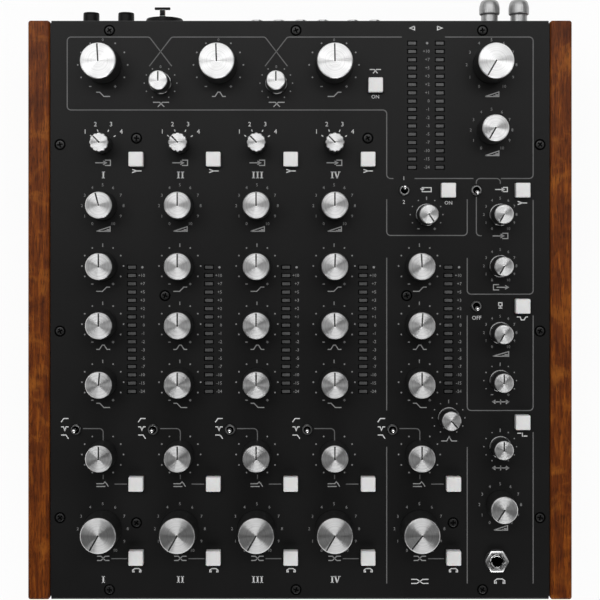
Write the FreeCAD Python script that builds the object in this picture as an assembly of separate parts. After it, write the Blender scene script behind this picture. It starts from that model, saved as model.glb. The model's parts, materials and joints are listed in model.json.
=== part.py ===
import FreeCAD, Part
import math
import os

# Table-top rotary mixer: a folded steel case between two wood cheeks, with a panel of turning knobs,
# push buttons and toggle switches on top, and its sockets along the rear wall.
# Millimetres, +Z up, +Y to the rear. Controls are laid out from the middle of the panel, and the
# finished pieces move forward so that the origin is under the middle of the whole outline.

V = FreeCAD.Vector
UP = V(0, 0, 1)
REARWARD = V(0, 1, 0)
SIDEWAYS = V(1, 0, 0)

# Case
CASE_WIDTH = 340.0
CASE_DEPTH = 362.0
CASE_HEIGHT = 80.0
CHEEK_THICK = 13.6
CHEEK_EDGE_R = 1.6
CHEEK_RISE = 0.6
PANEL_THICK = 2.0
PANEL_BEND_R = 1.6
PANEL_SIDE_GAP = 0.9
LIP_HEIGHT = 10.0
LIP_GAP = 0.1
TRAY_SHEET = 1.5
FLANGE_WIDTH = 9.0

# Feet
FOOT_HEIGHT = 8.0
FOOT_TOP_D = 24.0
FOOT_BASE_D = 21.0
FOOT_INSET = 30.0
FOOT_RECESS = 3.5

# Screws
SCREW_D = 3.0
SCREW_LENGTH = 8.0
SCREW_HEAD_D = 6.2
SCREW_HEAD_DEPTH = 1.7
CROSS_SLOT_LENGTH = 3.2
CROSS_SLOT_W = 0.9
CROSS_SLOT_DEPTH = 1.1
PAN_HEAD_D = 5.6
PAN_HEAD_HEIGHT = 2.2
EDGE_SCREW_MARGIN = 6.2
SIDE_SCREW_MARGIN = 5.5
PANEL_SCREW_PITCH = 116.6
PANEL_SCREW_SHIFT_X = -2.5
PANEL_SCREW_SHIFT_Y = -13.2
CHEEK_SCREW_PITCH = 130.0
CHEEK_SCREW_LENGTH = 12.0
CHEEK_SCREW_Z = 45.0

# Clearances
RUN_CLEARANCE = 0.3
HOLE_CLEARANCE = 0.35
FIT = 0.05

# Knobs: cap diameter, diameter where the body meets the panel, and height over the panel
LARGE_CAP_D = 21.8
LARGE_BASE_D = 23.6
LARGE_HEIGHT = 20.0
MEDIUM_CAP_D = 16.4
MEDIUM_BASE_D = 18.0
MEDIUM_HEIGHT = 17.6
SMALL_CAP_D = 11.7
SMALL_BASE_D = 12.6
SMALL_HEIGHT = 16.0
SKIRT_D = 14.4
SKIRT_HEIGHT = 1.6
KNOB_GAP = 0.8
KNOB_RIM = 0.35
KNOB_ROOF = 3.0
KNOB_FOOT_BEVEL = 0.8
CAP_THICK = 1.4
CAP_CHAMFER = 0.5
POINTER_WIDTH = 0.9
POINTER_DEPTH = 0.3
FLUTES = 12
FLUTE_R = 1.3
FLUTE_DEPTH = 0.45

# Columns: the outer two keep their margins to the panel's edges, and the channels share what is between
CHANNELS = 4
FIRST_COLUMN_MARGIN = 32.2
RIGHT_COLUMN_MARGIN = 30.4
SUBMIX_STEP = 53.3
RIGHT_STEP = 50.5
LEVELS_STEP = -5.4
EFFECT_KNOB_STEP = 4.5
RESONANCE_STEP = 18.3

# Rows: the rear and front ones keep their margins to the case's edges, and the tone rows share the rest
ISOLATOR_MARGIN = 27.8
CROSSOVER_DROP = 11.4
BOOTH_DROP = 40.8
SOURCE_DROP = 49.4
GAIN_DROP = 38.7
SESSION_DROP = 5.5
HIGH_EXTRA = 1.3
FILTER_EXTRA = 8.9
FILTER_RISE = 46.5
MIX_MARGIN = 44.2
MIC_GAIN_DROP = 5.4
MIC_TONE_RISE = 1.0
RESONANCE_RISE = 22.9
CUE_PAN_RISE = 4.9
PHONES_LEVEL_RISE = 15.1

# Push buttons
BUTTON_W = 9.1
BUTTON_RISE = 4.6
BUTTON_SINK = 3.0
BUTTON_EDGE_R = 0.7
BUTTON_TRAVEL = 2.0
STEM_W = 3.4
BUTTON_STEP = 21.1
RIGHT_BUTTON_STEP = 13.7
ISOLATOR_BUTTON_STEP = 25.8
ISOLATOR_BUTTON_DROP = 12.8
EFFECT_BUTTON_STEP = 17.9
SUB_DROP = 9.7
EFFECT_RISE = 9.7
MIC_ROW_RISE = 11.3
SPLIT_RISE = 20.4
FILTER_BUTTON_DROP = 18.0
CUE_DROP = 17.5

# Toggle switches
TOGGLE_BUSH_D = 6.2
TOGGLE_BUSH_RISE = 1.6
TOGGLE_BORE_D = 4.6
TOGGLE_BALL_D = 3.8
TOGGLE_PIVOT_DROP = 1.5
LEVER_LENGTH = 9.5
LEVER_NECK_D = 1.9
LEVER_TIP_D = 2.9
TOGGLE_TILT = 12.0
TOGGLE_BODY_W = 8.0
TOGGLE_BODY_D = 12.0
TOGGLE_STEP = -16.8
TOGGLE_RISE = 15.6
EFFECT_TOGGLE_STEP = -9.4
RIGHT_TOGGLE_STEP = -14.9

# Level meters: columns of small windows over a comb-shaped light pipe
METER_ROWS = 16
METER_STEP = 18.2
METER_DROP = 0.8
METER_OVERRUN = 5.025
METER_WINDOW_W = 6.2
METER_WINDOW_D = 3.1
MAIN_METER_STEPS = (-4.5, 12.8)
MAIN_METER_MARGIN = 14.2
MAIN_METER_PITCH = 5.175
MAIN_WINDOW_W = 6.2
MAIN_WINDOW_D = 3.1
WINDOW_RECESS = 0.5
WINDOW_FIT = 0.1
METER_BAR_MARGIN = 0.8
METER_BAR_GAP = 0.5

# Boards behind the panel and on the floor of the tray
BOARD_DROP = 12.0
BOARD_THICK = 1.6
BOARD_MARGIN = 8.0
PILLAR_D = 6.0
PILLAR_SOURCE_RISE = 3.6
PILLAR_CHANNEL_STEP = -9.3
PILLAR_SUBMIX_STEP = -7.9
PILLAR_MID_RISE = 17.8
PILLAR_MIX_RISE = 3.8
POT_W = 10.0
POT_HEIGHT = 7.0
POT_FLOOR = 1.2
BUSH_D = 7.2
SHAFT_D = 5.0
SWITCH_W = 11.0
MAIN_BOARD_W = 230.0
MAIN_BOARD_D = 190.0
MAIN_BOARD_Y = 20.0
MAIN_BOARD_STAND = 7.0
SUPPLY_W = 60.0
SUPPLY_D = 110.0
SUPPLY_H = 32.0
SUPPLY_X = 70.0
CHIP_W = 14.0
CHIP_H = 2.4
CHIP_X = (-95.0, -60.0, -25.0)
CHIP_Y = (-40.0, 10.0, 60.0)
RIBBON_W = 40.0
RIBBON_THICK = 1.2
RIBBON_X = -60.0
RIBBON_Y = -65.0

# Phones socket on the panel
PHONES_STEP = -2.3
PHONES_DROP = 19.9
PHONES_BODY_W = 14.0
PHONES_BODY_DEPTH = 26.0
PHONES_BOARD_GAP = 1.0
JACK_BORE_D = 6.5
JACK_BORE_DEPTH = 28.0
JACK_BUSH_D = 9.0
JACK_NUT_AF = 13.0
JACK_NUT_THICK = 2.4
JACK_WASHER_D = 14.8
JACK_WASHER_THICK = 0.8

# Sockets on the rear wall. Each reach is measured from the rear edge of the panel, and each margin from
# the nearer side of the case.
UPPER_SOCKET_Z = 58.0
LOWER_SOCKET_Z = 38.0
LINE_JACK_MARGINS = (34.8, 57.4)
LINE_JACK_D = 10.4
LINE_JACK_REACH = 9.8
LINE_JACK_BODY_W = 15.0
LINE_JACK_BODY_D = 22.0
MIC_SOCKET_MARGIN = 82.3
MIC_BARREL_D = 24.0
MIC_BARREL_REACH = 5.8
MIC_BORE_D = 19.0
MIC_BORE_DEPTH = 12.0
MIC_FLANGE_W = 26.0
MIC_FLANGE_H = 30.0
MIC_FLANGE_THICK = 2.0
MIC_BODY_D = 20.0
LATCH_REACH = 11.2
LATCH_STEM_W = 4.0
LATCH_BAR_W = 10.0
LATCH_BAR_D = 1.6
LATCH_THICK = 1.8
PHONO_X = (-28.5, -13.9, 0.7, 15.3, 35.1, 49.7)
PHONO_D = 8.3
PHONO_BORE_D = 3.4
PHONO_BORE_DEPTH = 10.0
PHONO_REACH = 8.5
PHONO_FLANGE_D = 12.0
PHONO_FLANGE_THICK = 1.6
PHONO_BODY_D = 9.6
PHONO_BODY_LENGTH = 12.0
DATA_SOCKET_MARGIN = 86.0
DATA_SHELL_W = 12.0
DATA_SHELL_H = 11.0
DATA_SHELL_D = 16.0
DATA_CAVITY_W = 8.5
DATA_CAVITY_H = 7.8
DATA_CAVITY_D = 10.0
DATA_TONGUE_W = 5.6
DATA_TONGUE_H = 3.2
DATA_TONGUE_SETBACK = 5.0
INLET_MARGIN = 46.0
INLET_Z = 31.0
INLET_FLANGE_W = 50.0
INLET_FLANGE_H = 24.0
INLET_FLANGE_THICK = 2.0
INLET_BODY_W = 28.0
INLET_BODY_H = 20.0
INLET_BODY_D = 24.0
INLET_CAVITY_W = 24.2
INLET_CAVITY_H = 16.4
INLET_CAVITY_D = 16.0
INLET_PIN_W = 2.0
INLET_PIN_H = 4.0
INLET_PIN_SETBACK = 5.0
INLET_PIN_PITCH = 7.0
INLET_EARTH_RISE = 3.5
POST_MARGINS = (47.1, 28.1)
POST_NECK_D = 10.8
POST_NECK_REACH = 8.5
POST_D = 13.2
POST_REACH = 17.8
POST_END_R = 1.6
POST_SLOT_W = 2.4
POST_SLOT_DEPTH = 4.0
POST_SHANK_D = 4.0
POST_SHANK_LENGTH = 12.0

# Levels and widths that follow from the sizes above
PANEL_TOP = FOOT_HEIGHT + CASE_HEIGHT
PANEL_UNDER = PANEL_TOP - PANEL_THICK
BOARD_TOP = PANEL_UNDER - BOARD_DROP
TRAY_FLOOR = FOOT_HEIGHT + TRAY_SHEET
TRAY_WIDTH = CASE_WIDTH - 2 * CHEEK_THICK
TRAY_DEPTH = CASE_DEPTH - 2 * (PANEL_THICK + LIP_GAP)
PANEL_WIDTH = TRAY_WIDTH - 2 * PANEL_SIDE_GAP
REAR_EDGE_Y = CASE_DEPTH / 2
WALL_Y = TRAY_DEPTH / 2
WALL_INSIDE_Y = WALL_Y - TRAY_SHEET
TOGGLE_PIVOT_Z = PANEL_TOP - TOGGLE_PIVOT_DROP
TOGGLE_SEAT_Z = TOGGLE_PIVOT_Z - TOGGLE_BALL_D / 2 - RUN_CLEARANCE
SWITCH_HEIGHT = BOARD_DROP - (BUTTON_SINK - PANEL_THICK) - BUTTON_TRAVEL - HOLE_CLEARANCE
MAIN_BOARD_Z = TRAY_FLOOR + MAIN_BOARD_STAND
JACK_TOP = PANEL_TOP + JACK_WASHER_THICK + JACK_NUT_THICK
MIC_FLANGE_FACE_Y = WALL_Y + MIC_FLANGE_THICK
INLET_FACE_Y = WALL_Y + INLET_FLANGE_THICK
DATA_FACE_Y = REAR_EDGE_Y
FRAME_SHIFT = V(0, -POST_REACH / 2, 0)

# Columns from the middle of the panel
FIRST_COLUMN_X = FIRST_COLUMN_MARGIN - PANEL_WIDTH / 2
RIGHT_X = PANEL_WIDTH / 2 - RIGHT_COLUMN_MARGIN
SUBMIX_X = RIGHT_X - RIGHT_STEP
COLUMN_PITCH = (SUBMIX_X - SUBMIX_STEP - FIRST_COLUMN_X) / (CHANNELS - 1)
CHANNEL_X = [FIRST_COLUMN_X + COLUMN_PITCH * i for i in range(CHANNELS)]
STRIP_X = CHANNEL_X + [SUBMIX_X]
LEVELS_X = RIGHT_X + LEVELS_STEP
EFFECT_KNOB_X = SUBMIX_X + EFFECT_KNOB_STEP
EFFECT_BUTTON_X = SUBMIX_X + EFFECT_BUTTON_STEP
EFFECT_TOGGLE_X = SUBMIX_X + EFFECT_TOGGLE_STEP
RESONANCE_X = SUBMIX_X + RESONANCE_STEP
RIGHT_BUTTON_X = RIGHT_X + RIGHT_BUTTON_STEP
RIGHT_TOGGLE_X = RIGHT_X + RIGHT_TOGGLE_STEP
ISOLATOR_BUTTON_X = CHANNEL_X[-1] + ISOLATOR_BUTTON_STEP
MAIN_METER_X = [SUBMIX_X + step for step in MAIN_METER_STEPS]
PHONES_X = RIGHT_X + PHONES_STEP

# Rows from the middle of the panel
ISOLATOR_ROW_Y = REAR_EDGE_Y - ISOLATOR_MARGIN
CROSSOVER_ROW_Y = ISOLATOR_ROW_Y - CROSSOVER_DROP
ISOLATOR_BUTTON_Y = ISOLATOR_ROW_Y - ISOLATOR_BUTTON_DROP
BOOTH_ROW_Y = ISOLATOR_ROW_Y - BOOTH_DROP
SOURCE_ROW_Y = ISOLATOR_ROW_Y - SOURCE_DROP
SUB_ROW_Y = SOURCE_ROW_Y - SUB_DROP
GAIN_ROW_Y = SOURCE_ROW_Y - GAIN_DROP
EFFECT_ROW_Y = GAIN_ROW_Y + EFFECT_RISE
SESSION_ROW_Y = GAIN_ROW_Y - SESSION_DROP
MIX_ROW_Y = MIX_MARGIN - REAR_EDGE_Y
CUE_ROW_Y = MIX_ROW_Y - CUE_DROP
FILTER_ROW_Y = MIX_ROW_Y + FILTER_RISE
FILTER_BUTTON_Y = FILTER_ROW_Y - FILTER_BUTTON_DROP
TOGGLE_ROW_Y = FILTER_ROW_Y + TOGGLE_RISE
EQ_PITCH = (GAIN_ROW_Y - FILTER_ROW_Y - HIGH_EXTRA - FILTER_EXTRA) / 4
HIGH_ROW_Y = GAIN_ROW_Y - EQ_PITCH - HIGH_EXTRA
MID_ROW_Y = HIGH_ROW_Y - EQ_PITCH
LOW_ROW_Y = MID_ROW_Y - EQ_PITCH
MIC_ROW_Y = MID_ROW_Y + MIC_ROW_RISE
MIC_GAIN_Y = MID_ROW_Y - MIC_GAIN_DROP
MIC_TONE_Y = LOW_ROW_Y + MIC_TONE_RISE
RESONANCE_Y = FILTER_ROW_Y + RESONANCE_RISE
SPLIT_BUTTON_Y = FILTER_ROW_Y + SPLIT_RISE
CUE_PAN_Y = FILTER_ROW_Y + CUE_PAN_RISE
PHONES_LEVEL_Y = MIX_ROW_Y + PHONES_LEVEL_RISE
PHONES_Y = MIX_ROW_Y - PHONES_DROP
METER_TOP_Y = HIGH_ROW_Y - METER_DROP
METER_PITCH = (HIGH_ROW_Y - LOW_ROW_Y + METER_OVERRUN) / (METER_ROWS - 1)
MAIN_METER_TOP_Y = REAR_EDGE_Y - MAIN_METER_MARGIN

# Sockets from the middle of the rear wall
LINE_JACK_X = [margin - CASE_WIDTH / 2 for margin in LINE_JACK_MARGINS]
MIC_SOCKET_X = MIC_SOCKET_MARGIN - CASE_WIDTH / 2
DATA_SOCKET_X = CASE_WIDTH / 2 - DATA_SOCKET_MARGIN
INLET_X = CASE_WIDTH / 2 - INLET_MARGIN
POST_X = [CASE_WIDTH / 2 - margin for margin in POST_MARGINS]

# Where each knob's pointer stands, in degrees clockwise from straight to the rear
KNOB_SWEEP = 150.0
SELECTOR_FIRST = -45.0
GAIN_POINTERS = (-15, 0, 0, 0)
HIGH_POINTERS = (0, 0, 0, 2, -3)
MID_POINTERS = (0, 0, 0, -2, 3)
LOW_POINTERS = (5, 0, 0, 0, 0)
MIX_POINTERS = (-150, -150, -150, -150, -142)


def knob_places():
    """Every knob as (name, kind, x, y, pointer)."""
    middle_x = (CHANNEL_X[0] + CHANNEL_X[-1]) / 2
    places = [
        ("isolator_low_knob", "large", CHANNEL_X[0], ISOLATOR_ROW_Y, -3),
        ("isolator_mid_knob", "large", middle_x, ISOLATOR_ROW_Y, -2),
        ("isolator_high_knob", "large", CHANNEL_X[-1], ISOLATOR_ROW_Y, -1),
        ("crossover_low_knob", "small", (CHANNEL_X[0] + middle_x) / 2, CROSSOVER_ROW_Y, 0),
        ("crossover_high_knob", "small", (CHANNEL_X[-1] + middle_x) / 2, CROSSOVER_ROW_Y, 0),
        ("main_level_knob", "large", LEVELS_X, ISOLATOR_ROW_Y, -150),
        ("booth_level_knob", "medium", LEVELS_X, BOOTH_ROW_Y, -150),
        ("effect_send_knob", "small", EFFECT_KNOB_X, SESSION_ROW_Y, 147),
        ("session_in_knob", "small", RIGHT_X, SESSION_ROW_Y, -150),
        ("session_out_knob", "small", RIGHT_X, HIGH_ROW_Y, -150),
        ("mic_gain_knob", "small", RIGHT_X, MIC_GAIN_Y, -150),
        ("mic_tone_knob", "small", RIGHT_X, MIC_TONE_Y, 0),
        ("resonance_knob", "small", RESONANCE_X, RESONANCE_Y, 138),
        ("cue_pan_knob", "small", RIGHT_X, CUE_PAN_Y, 0),
        ("phones_level_knob", "medium", RIGHT_X, PHONES_LEVEL_Y, -147),
    ]
    for i, x in enumerate(CHANNEL_X):
        places.append((f"source_knob_{i + 1}", "fluted", x, SOURCE_ROW_Y, SELECTOR_FIRST))
        places.append((f"gain_knob_{i + 1}", "medium", x, GAIN_ROW_Y, GAIN_POINTERS[i]))
    for i, x in enumerate(STRIP_X):
        places.append((f"high_knob_{i + 1}", "medium", x, HIGH_ROW_Y, HIGH_POINTERS[i]))
        places.append((f"mid_knob_{i + 1}", "medium", x, MID_ROW_Y, MID_POINTERS[i]))
        places.append((f"low_knob_{i + 1}", "medium", x, LOW_ROW_Y, LOW_POINTERS[i]))
        places.append((f"filter_knob_{i + 1}", "medium", x, FILTER_ROW_Y, 0))
        places.append((f"mix_knob_{i + 1}", "large", x, MIX_ROW_Y, MIX_POINTERS[i]))
    return places


def button_places():
    """The middle of every push button."""
    places = [(x + BUTTON_STEP, SUB_ROW_Y) for x in CHANNEL_X]
    places += [(x + BUTTON_STEP, FILTER_BUTTON_Y) for x in STRIP_X]
    places += [(x + BUTTON_STEP, CUE_ROW_Y) for x in STRIP_X]
    places += [(RIGHT_BUTTON_X, y) for y in (EFFECT_ROW_Y, MIC_ROW_Y, SPLIT_BUTTON_Y)]
    places += [(EFFECT_BUTTON_X, EFFECT_ROW_Y), (ISOLATOR_BUTTON_X, ISOLATOR_BUTTON_Y)]
    return places


def toggle_places():
    """Every toggle lever node as (name, places, tilt at rest); a positive tilt leans to the front."""
    return [
        ("filter_mode_toggles", [(x + TOGGLE_STEP, TOGGLE_ROW_Y) for x in STRIP_X], 0.0),
        ("effect_toggle", [(EFFECT_TOGGLE_X, EFFECT_ROW_Y)], -TOGGLE_TILT),
        ("session_toggle", [(RIGHT_TOGGLE_X, EFFECT_ROW_Y)], TOGGLE_TILT),
        ("mic_toggle", [(RIGHT_TOGGLE_X, MIC_ROW_Y)], TOGGLE_TILT),
    ]


def meter_places():
    """Every meter as (x, y of its windows, window width, window depth)."""
    channel_rows = [METER_TOP_Y - METER_PITCH * row for row in range(METER_ROWS)]
    main_rows = [MAIN_METER_TOP_Y - MAIN_METER_PITCH * row for row in range(METER_ROWS)]
    meters = [(x + METER_STEP, channel_rows, METER_WINDOW_W, METER_WINDOW_D) for x in STRIP_X]
    meters += [(x, main_rows, MAIN_WINDOW_W, MAIN_WINDOW_D) for x in MAIN_METER_X]
    return meters


def edge_screw_places():
    """Screws that hold the panel to the flange of the tray."""
    edge_y = CASE_DEPTH / 2 - EDGE_SCREW_MARGIN
    side_x = PANEL_WIDTH / 2 - SIDE_SCREW_MARGIN
    steps = [PANEL_SCREW_PITCH * step for step in (-1, 0, 1)]
    places = [(PANEL_SCREW_SHIFT_X + s, y) for s in steps for y in (-edge_y, edge_y)]
    places += [(x, PANEL_SCREW_SHIFT_Y + s) for s in steps for x in (-side_x, side_x)]
    return places


def inner_screw_places():
    """Screws that hold the control board's pillars under the panel."""
    return [
        (CHANNEL_X[0] + BUTTON_STEP, SOURCE_ROW_Y + PILLAR_SOURCE_RISE),
        (CHANNEL_X[-1] + BUTTON_STEP, SOURCE_ROW_Y + PILLAR_SOURCE_RISE),
        (CHANNEL_X[1] + PILLAR_CHANNEL_STEP, MID_ROW_Y + PILLAR_MID_RISE),
        (SUBMIX_X + PILLAR_SUBMIX_STEP, MID_ROW_Y + PILLAR_MID_RISE),
        (CHANNEL_X[0] + BUTTON_STEP, MIX_ROW_Y + PILLAR_MIX_RISE),
        (SUBMIX_X + BUTTON_STEP, MIX_ROW_Y + PILLAR_MIX_RISE),
    ]


def foot_places():
    x = CASE_WIDTH / 2 - FOOT_INSET
    y = CASE_DEPTH / 2 - FOOT_INSET
    return [(sx * x, sy * y) for sx in (-1, 1) for sy in (-1, 1)]


def block(x, y, z, width, depth, height):
    """Box standing on z, centred on x and y."""
    return Part.makeBox(width, depth, height, V(x - width / 2, y - depth / 2, z))


def rod(x, y, z, diameter, height):
    """Upright cylinder standing on z."""
    return Part.makeCylinder(diameter / 2, height, V(x, y, z), UP)


def rear_rod(x, z, front_y, diameter, rear_y):
    """Cylinder along Y between two planes."""
    return Part.makeCylinder(diameter / 2, rear_y - front_y, V(x, front_y, z), REARWARD)


def rear_block(x, z, front_y, width, height, rear_y):
    """Box along Y between two planes, centred on x and z."""
    return Part.makeBox(width, rear_y - front_y, height, V(x - width / 2, front_y, z - height / 2))


def turned(outline):
    """Solid of revolution about Z from points (radius, z)."""
    points = [V(r, 0, z) for r, z in outline]
    return Part.Face(Part.makePolygon(points + points[:1])).revolve(V(), UP, 360)


def hexagon(x, y, z, across_flats, height):
    """Upright hexagonal prism with flats to the front and rear."""
    corner_r = across_flats / math.sqrt(3)
    angles = [math.radians(60 * i) for i in range(6)]
    points = [V(x + corner_r * math.cos(a), y + corner_r * math.sin(a), z) for a in angles]
    return Part.Face(Part.makePolygon(points + points[:1])).extrude(UP * height)


def cut_all(shape, tools):
    return shape.cut(Part.makeCompound(tools))


def edges_where(shape, test):
    """Edges whose two ends and middle all pass the test."""
    kept = []
    for edge in shape.Edges:
        middle = edge.valueAt((edge.FirstParameter + edge.LastParameter) / 2)
        if all(test(p) for p in [v.Point for v in edge.Vertexes] + [middle]):
            kept.append(edge)
    return kept


def near(a, b):
    return abs(a - b) < 1e-4


def top_panel():
    """Folded cover with a lip at the front and rear, and a hole for each control."""
    skirt = LIP_HEIGHT - PANEL_THICK
    panel = block(0, 0, PANEL_UNDER, PANEL_WIDTH, CASE_DEPTH, PANEL_THICK)
    for side in (-1, 1):
        lip_y = side * (CASE_DEPTH - PANEL_THICK) / 2
        panel = panel.fuse(block(0, lip_y, PANEL_UNDER - skirt, PANEL_WIDTH, PANEL_THICK, skirt))
    panel = panel.removeSplitter()
    bends = edges_where(panel, lambda p: near(p.z, PANEL_TOP) and near(abs(p.y), CASE_DEPTH / 2))
    panel = panel.makeFillet(PANEL_BEND_R, bends)
    holes = []
    for _, _, x, y, _ in knob_places():
        holes.append(rod(x, y, PANEL_UNDER, BUSH_D + 2 * HOLE_CLEARANCE, PANEL_THICK))
    button_hole = BUTTON_W + 2 * HOLE_CLEARANCE
    for x, y in button_places():
        holes.append(block(x, y, PANEL_UNDER, button_hole, button_hole, PANEL_THICK))
    for _, places, _ in toggle_places():
        for x, y in places:
            holes.append(rod(x, y, PANEL_UNDER, TOGGLE_BUSH_D + 2 * HOLE_CLEARANCE, PANEL_THICK))
    for x, rows, width, depth in meter_places():
        holes += [block(x, y, PANEL_UNDER, width, depth, PANEL_THICK) for y in rows]
    for x, y in edge_screw_places() + inner_screw_places():
        holes.append(rod(x, y, PANEL_UNDER, SCREW_D + 2 * HOLE_CLEARANCE, PANEL_THICK))
        sink_z = PANEL_TOP - SCREW_HEAD_DEPTH
        sink = Part.makeCone(SCREW_D / 2, SCREW_HEAD_D / 2, SCREW_HEAD_DEPTH, V(x, y, sink_z))
        holes.append(sink)
    holes.append(rod(PHONES_X, PHONES_Y, PANEL_UNDER, JACK_BUSH_D + 2 * HOLE_CLEARANCE, PANEL_THICK))
    return cut_all(panel, holes)


def rear_wall_holes():
    """Cut-outs in the rear wall, each a little wider than the socket that passes through."""
    gap = 2 * HOLE_CLEARANCE
    span = (WALL_INSIDE_Y, WALL_Y)
    holes = [rear_rod(x, UPPER_SOCKET_Z, span[0], LINE_JACK_D + gap, span[1]) for x in LINE_JACK_X]
    holes.append(rear_rod(MIC_SOCKET_X, UPPER_SOCKET_Z, span[0], MIC_BARREL_D + gap, span[1]))
    holes += [rear_rod(x, LOWER_SOCKET_Z, span[0], PHONO_BODY_D + gap, span[1]) for x in PHONO_X]
    holes += [rear_rod(x, UPPER_SOCKET_Z, span[0], POST_SHANK_D + gap, span[1]) for x in POST_X]
    data_size = (DATA_SHELL_W + gap, DATA_SHELL_H + gap)
    holes.append(rear_block(DATA_SOCKET_X, LOWER_SOCKET_Z, span[0], *data_size, span[1]))
    inlet_size = (INLET_BODY_W + gap, INLET_BODY_H + gap)
    holes.append(rear_block(INLET_X, INLET_Z, span[0], *inlet_size, span[1]))
    return holes


def chassis_tray():
    """Open-topped folded tray with an inward flange under the panel."""
    height = PANEL_UNDER - FOOT_HEIGHT
    inside_width = TRAY_WIDTH - 2 * TRAY_SHEET
    inside_depth = TRAY_DEPTH - 2 * TRAY_SHEET
    tray = block(0, 0, FOOT_HEIGHT, TRAY_WIDTH, TRAY_DEPTH, height)
    inside = block(0, 0, TRAY_FLOOR, inside_width, inside_depth, height - 2 * TRAY_SHEET)
    mouth_size = (TRAY_WIDTH - 2 * FLANGE_WIDTH, TRAY_DEPTH - 2 * FLANGE_WIDTH)
    mouth = block(0, 0, TRAY_FLOOR, *mouth_size, height)
    tray = tray.cut(inside).cut(mouth)
    holes = rear_wall_holes()
    flange_z = PANEL_UNDER - TRAY_SHEET
    for x, y in edge_screw_places():
        holes.append(rod(x, y, flange_z, SCREW_D + 2 * FIT, TRAY_SHEET))
    for x, y in foot_places():
        holes.append(rod(x, y, FOOT_HEIGHT, SCREW_D + 2 * FIT, TRAY_SHEET))
    for side, y, z in cheek_screw_places():
        wall_x = side * (TRAY_WIDTH - TRAY_SHEET) / 2 - TRAY_SHEET / 2
        holes.append(Part.makeCylinder(SCREW_D / 2 + FIT, TRAY_SHEET, V(wall_x, y, z), SIDEWAYS))
    return cut_all(tray, holes)


def cheek_screw_places():
    """Screws from inside the tray into each cheek, as (side, y, z)."""
    return [(side, CHEEK_SCREW_PITCH * step, CHEEK_SCREW_Z) for side in (-1, 1) for step in (-1, 0, 1)]


def cheek_screw_depth():
    """How far a cheek screw goes into the wood."""
    return CHEEK_SCREW_LENGTH - TRAY_SHEET


def wood_cheeks():
    """Rounded board on each side, with blind holes for the screws from inside."""
    cheeks = []
    for side in (-1, 1):
        x = side * (CASE_WIDTH - CHEEK_THICK) / 2
        board = block(x, 0, FOOT_HEIGHT, CHEEK_THICK, CASE_DEPTH, CASE_HEIGHT + CHEEK_RISE)
        board = board.makeFillet(CHEEK_EDGE_R, board.Edges)
        holes = []
        for screw_side, y, z in cheek_screw_places():
            if screw_side == side:
                start = V(side * TRAY_WIDTH / 2, y, z)
                depth = cheek_screw_depth() + RUN_CLEARANCE
                holes.append(Part.makeCylinder(SCREW_D / 2 + FIT, depth, start, SIDEWAYS * side))
        cheeks.append(cut_all(board, holes))
    return cheeks


def rubber_feet():
    """Tapered feet, each recessed from below for its screw."""
    feet = []
    for x, y in foot_places():
        foot = Part.makeCone(FOOT_BASE_D / 2, FOOT_TOP_D / 2, FOOT_HEIGHT, V(x, y, 0))
        recess = rod(x, y, 0, PAN_HEAD_D + 2 * HOLE_CLEARANCE, FOOT_RECESS)
        feet.append(foot.cut(recess).cut(rod(x, y, 0, SCREW_D + 2 * FIT, FOOT_HEIGHT)))
    return feet


def countersunk_screw(x, y):
    """Flush screw with a cross slot, its head level with the panel."""
    sink_z = PANEL_TOP - SCREW_HEAD_DEPTH
    head = Part.makeCone(SCREW_D / 2 - FIT, SCREW_HEAD_D / 2 - FIT, SCREW_HEAD_DEPTH, V(x, y, sink_z))
    shank = rod(x, y, PANEL_TOP - SCREW_LENGTH, SCREW_D - 2 * FIT, SCREW_LENGTH - SCREW_HEAD_DEPTH)
    slot_z = PANEL_TOP - CROSS_SLOT_DEPTH
    across = block(x, y, slot_z, CROSS_SLOT_LENGTH, CROSS_SLOT_W, CROSS_SLOT_DEPTH)
    along = block(x, y, slot_z, CROSS_SLOT_W, CROSS_SLOT_LENGTH, CROSS_SLOT_DEPTH)
    return head.fuse(shank).cut(across).cut(along)


def pan_screw(head_seat, direction, length):
    """Screw whose round head lies against head_seat and whose shank runs in direction."""
    shank = Part.makeCylinder(SCREW_D / 2, length, head_seat, direction)
    head = Part.makeCylinder(PAN_HEAD_D / 2, PAN_HEAD_HEIGHT, head_seat, direction * -1)
    return shank.fuse(head)


def case_screws():
    screws = [countersunk_screw(x, y) for x, y in edge_screw_places() + inner_screw_places()]
    inside_x = TRAY_WIDTH / 2 - TRAY_SHEET
    for side, y, z in cheek_screw_places():
        screws.append(pan_screw(V(side * inside_x, y, z), SIDEWAYS * side, CHEEK_SCREW_LENGTH))
    foot_screw_length = FOOT_HEIGHT - FOOT_RECESS + TRAY_SHEET + SCREW_D
    for x, y in foot_places():
        screws.append(pan_screw(V(x, y, FOOT_RECESS), UP, foot_screw_length))
    return screws


def control_board():
    """Board under the panel, cut away round the phones socket."""
    width = TRAY_WIDTH - 2 * (TRAY_SHEET + BOARD_MARGIN)
    depth = TRAY_DEPTH - 2 * (TRAY_SHEET + BOARD_MARGIN)
    under = BOARD_TOP - BOARD_THICK
    board = block(0, 0, under, width, depth, BOARD_THICK)
    gap_w = PHONES_BODY_W + 2 * PHONES_BOARD_GAP
    return board.cut(block(PHONES_X, PHONES_Y, under, gap_w, gap_w, BOARD_THICK))


def potentiometer(x, y):
    """Pot body on the board, with a bush up through the panel for its shaft."""
    body = block(x, y, BOARD_TOP, POT_W, POT_W, POT_HEIGHT)
    bush = rod(x, y, BOARD_TOP + POT_HEIGHT, BUSH_D, BOARD_DROP + PANEL_THICK - POT_HEIGHT)
    well_z = BOARD_TOP + POT_FLOOR
    return body.fuse(bush).cut(rod(x, y, well_z, SHAFT_D + 2 * RUN_CLEARANCE, PANEL_TOP - well_z))


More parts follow.
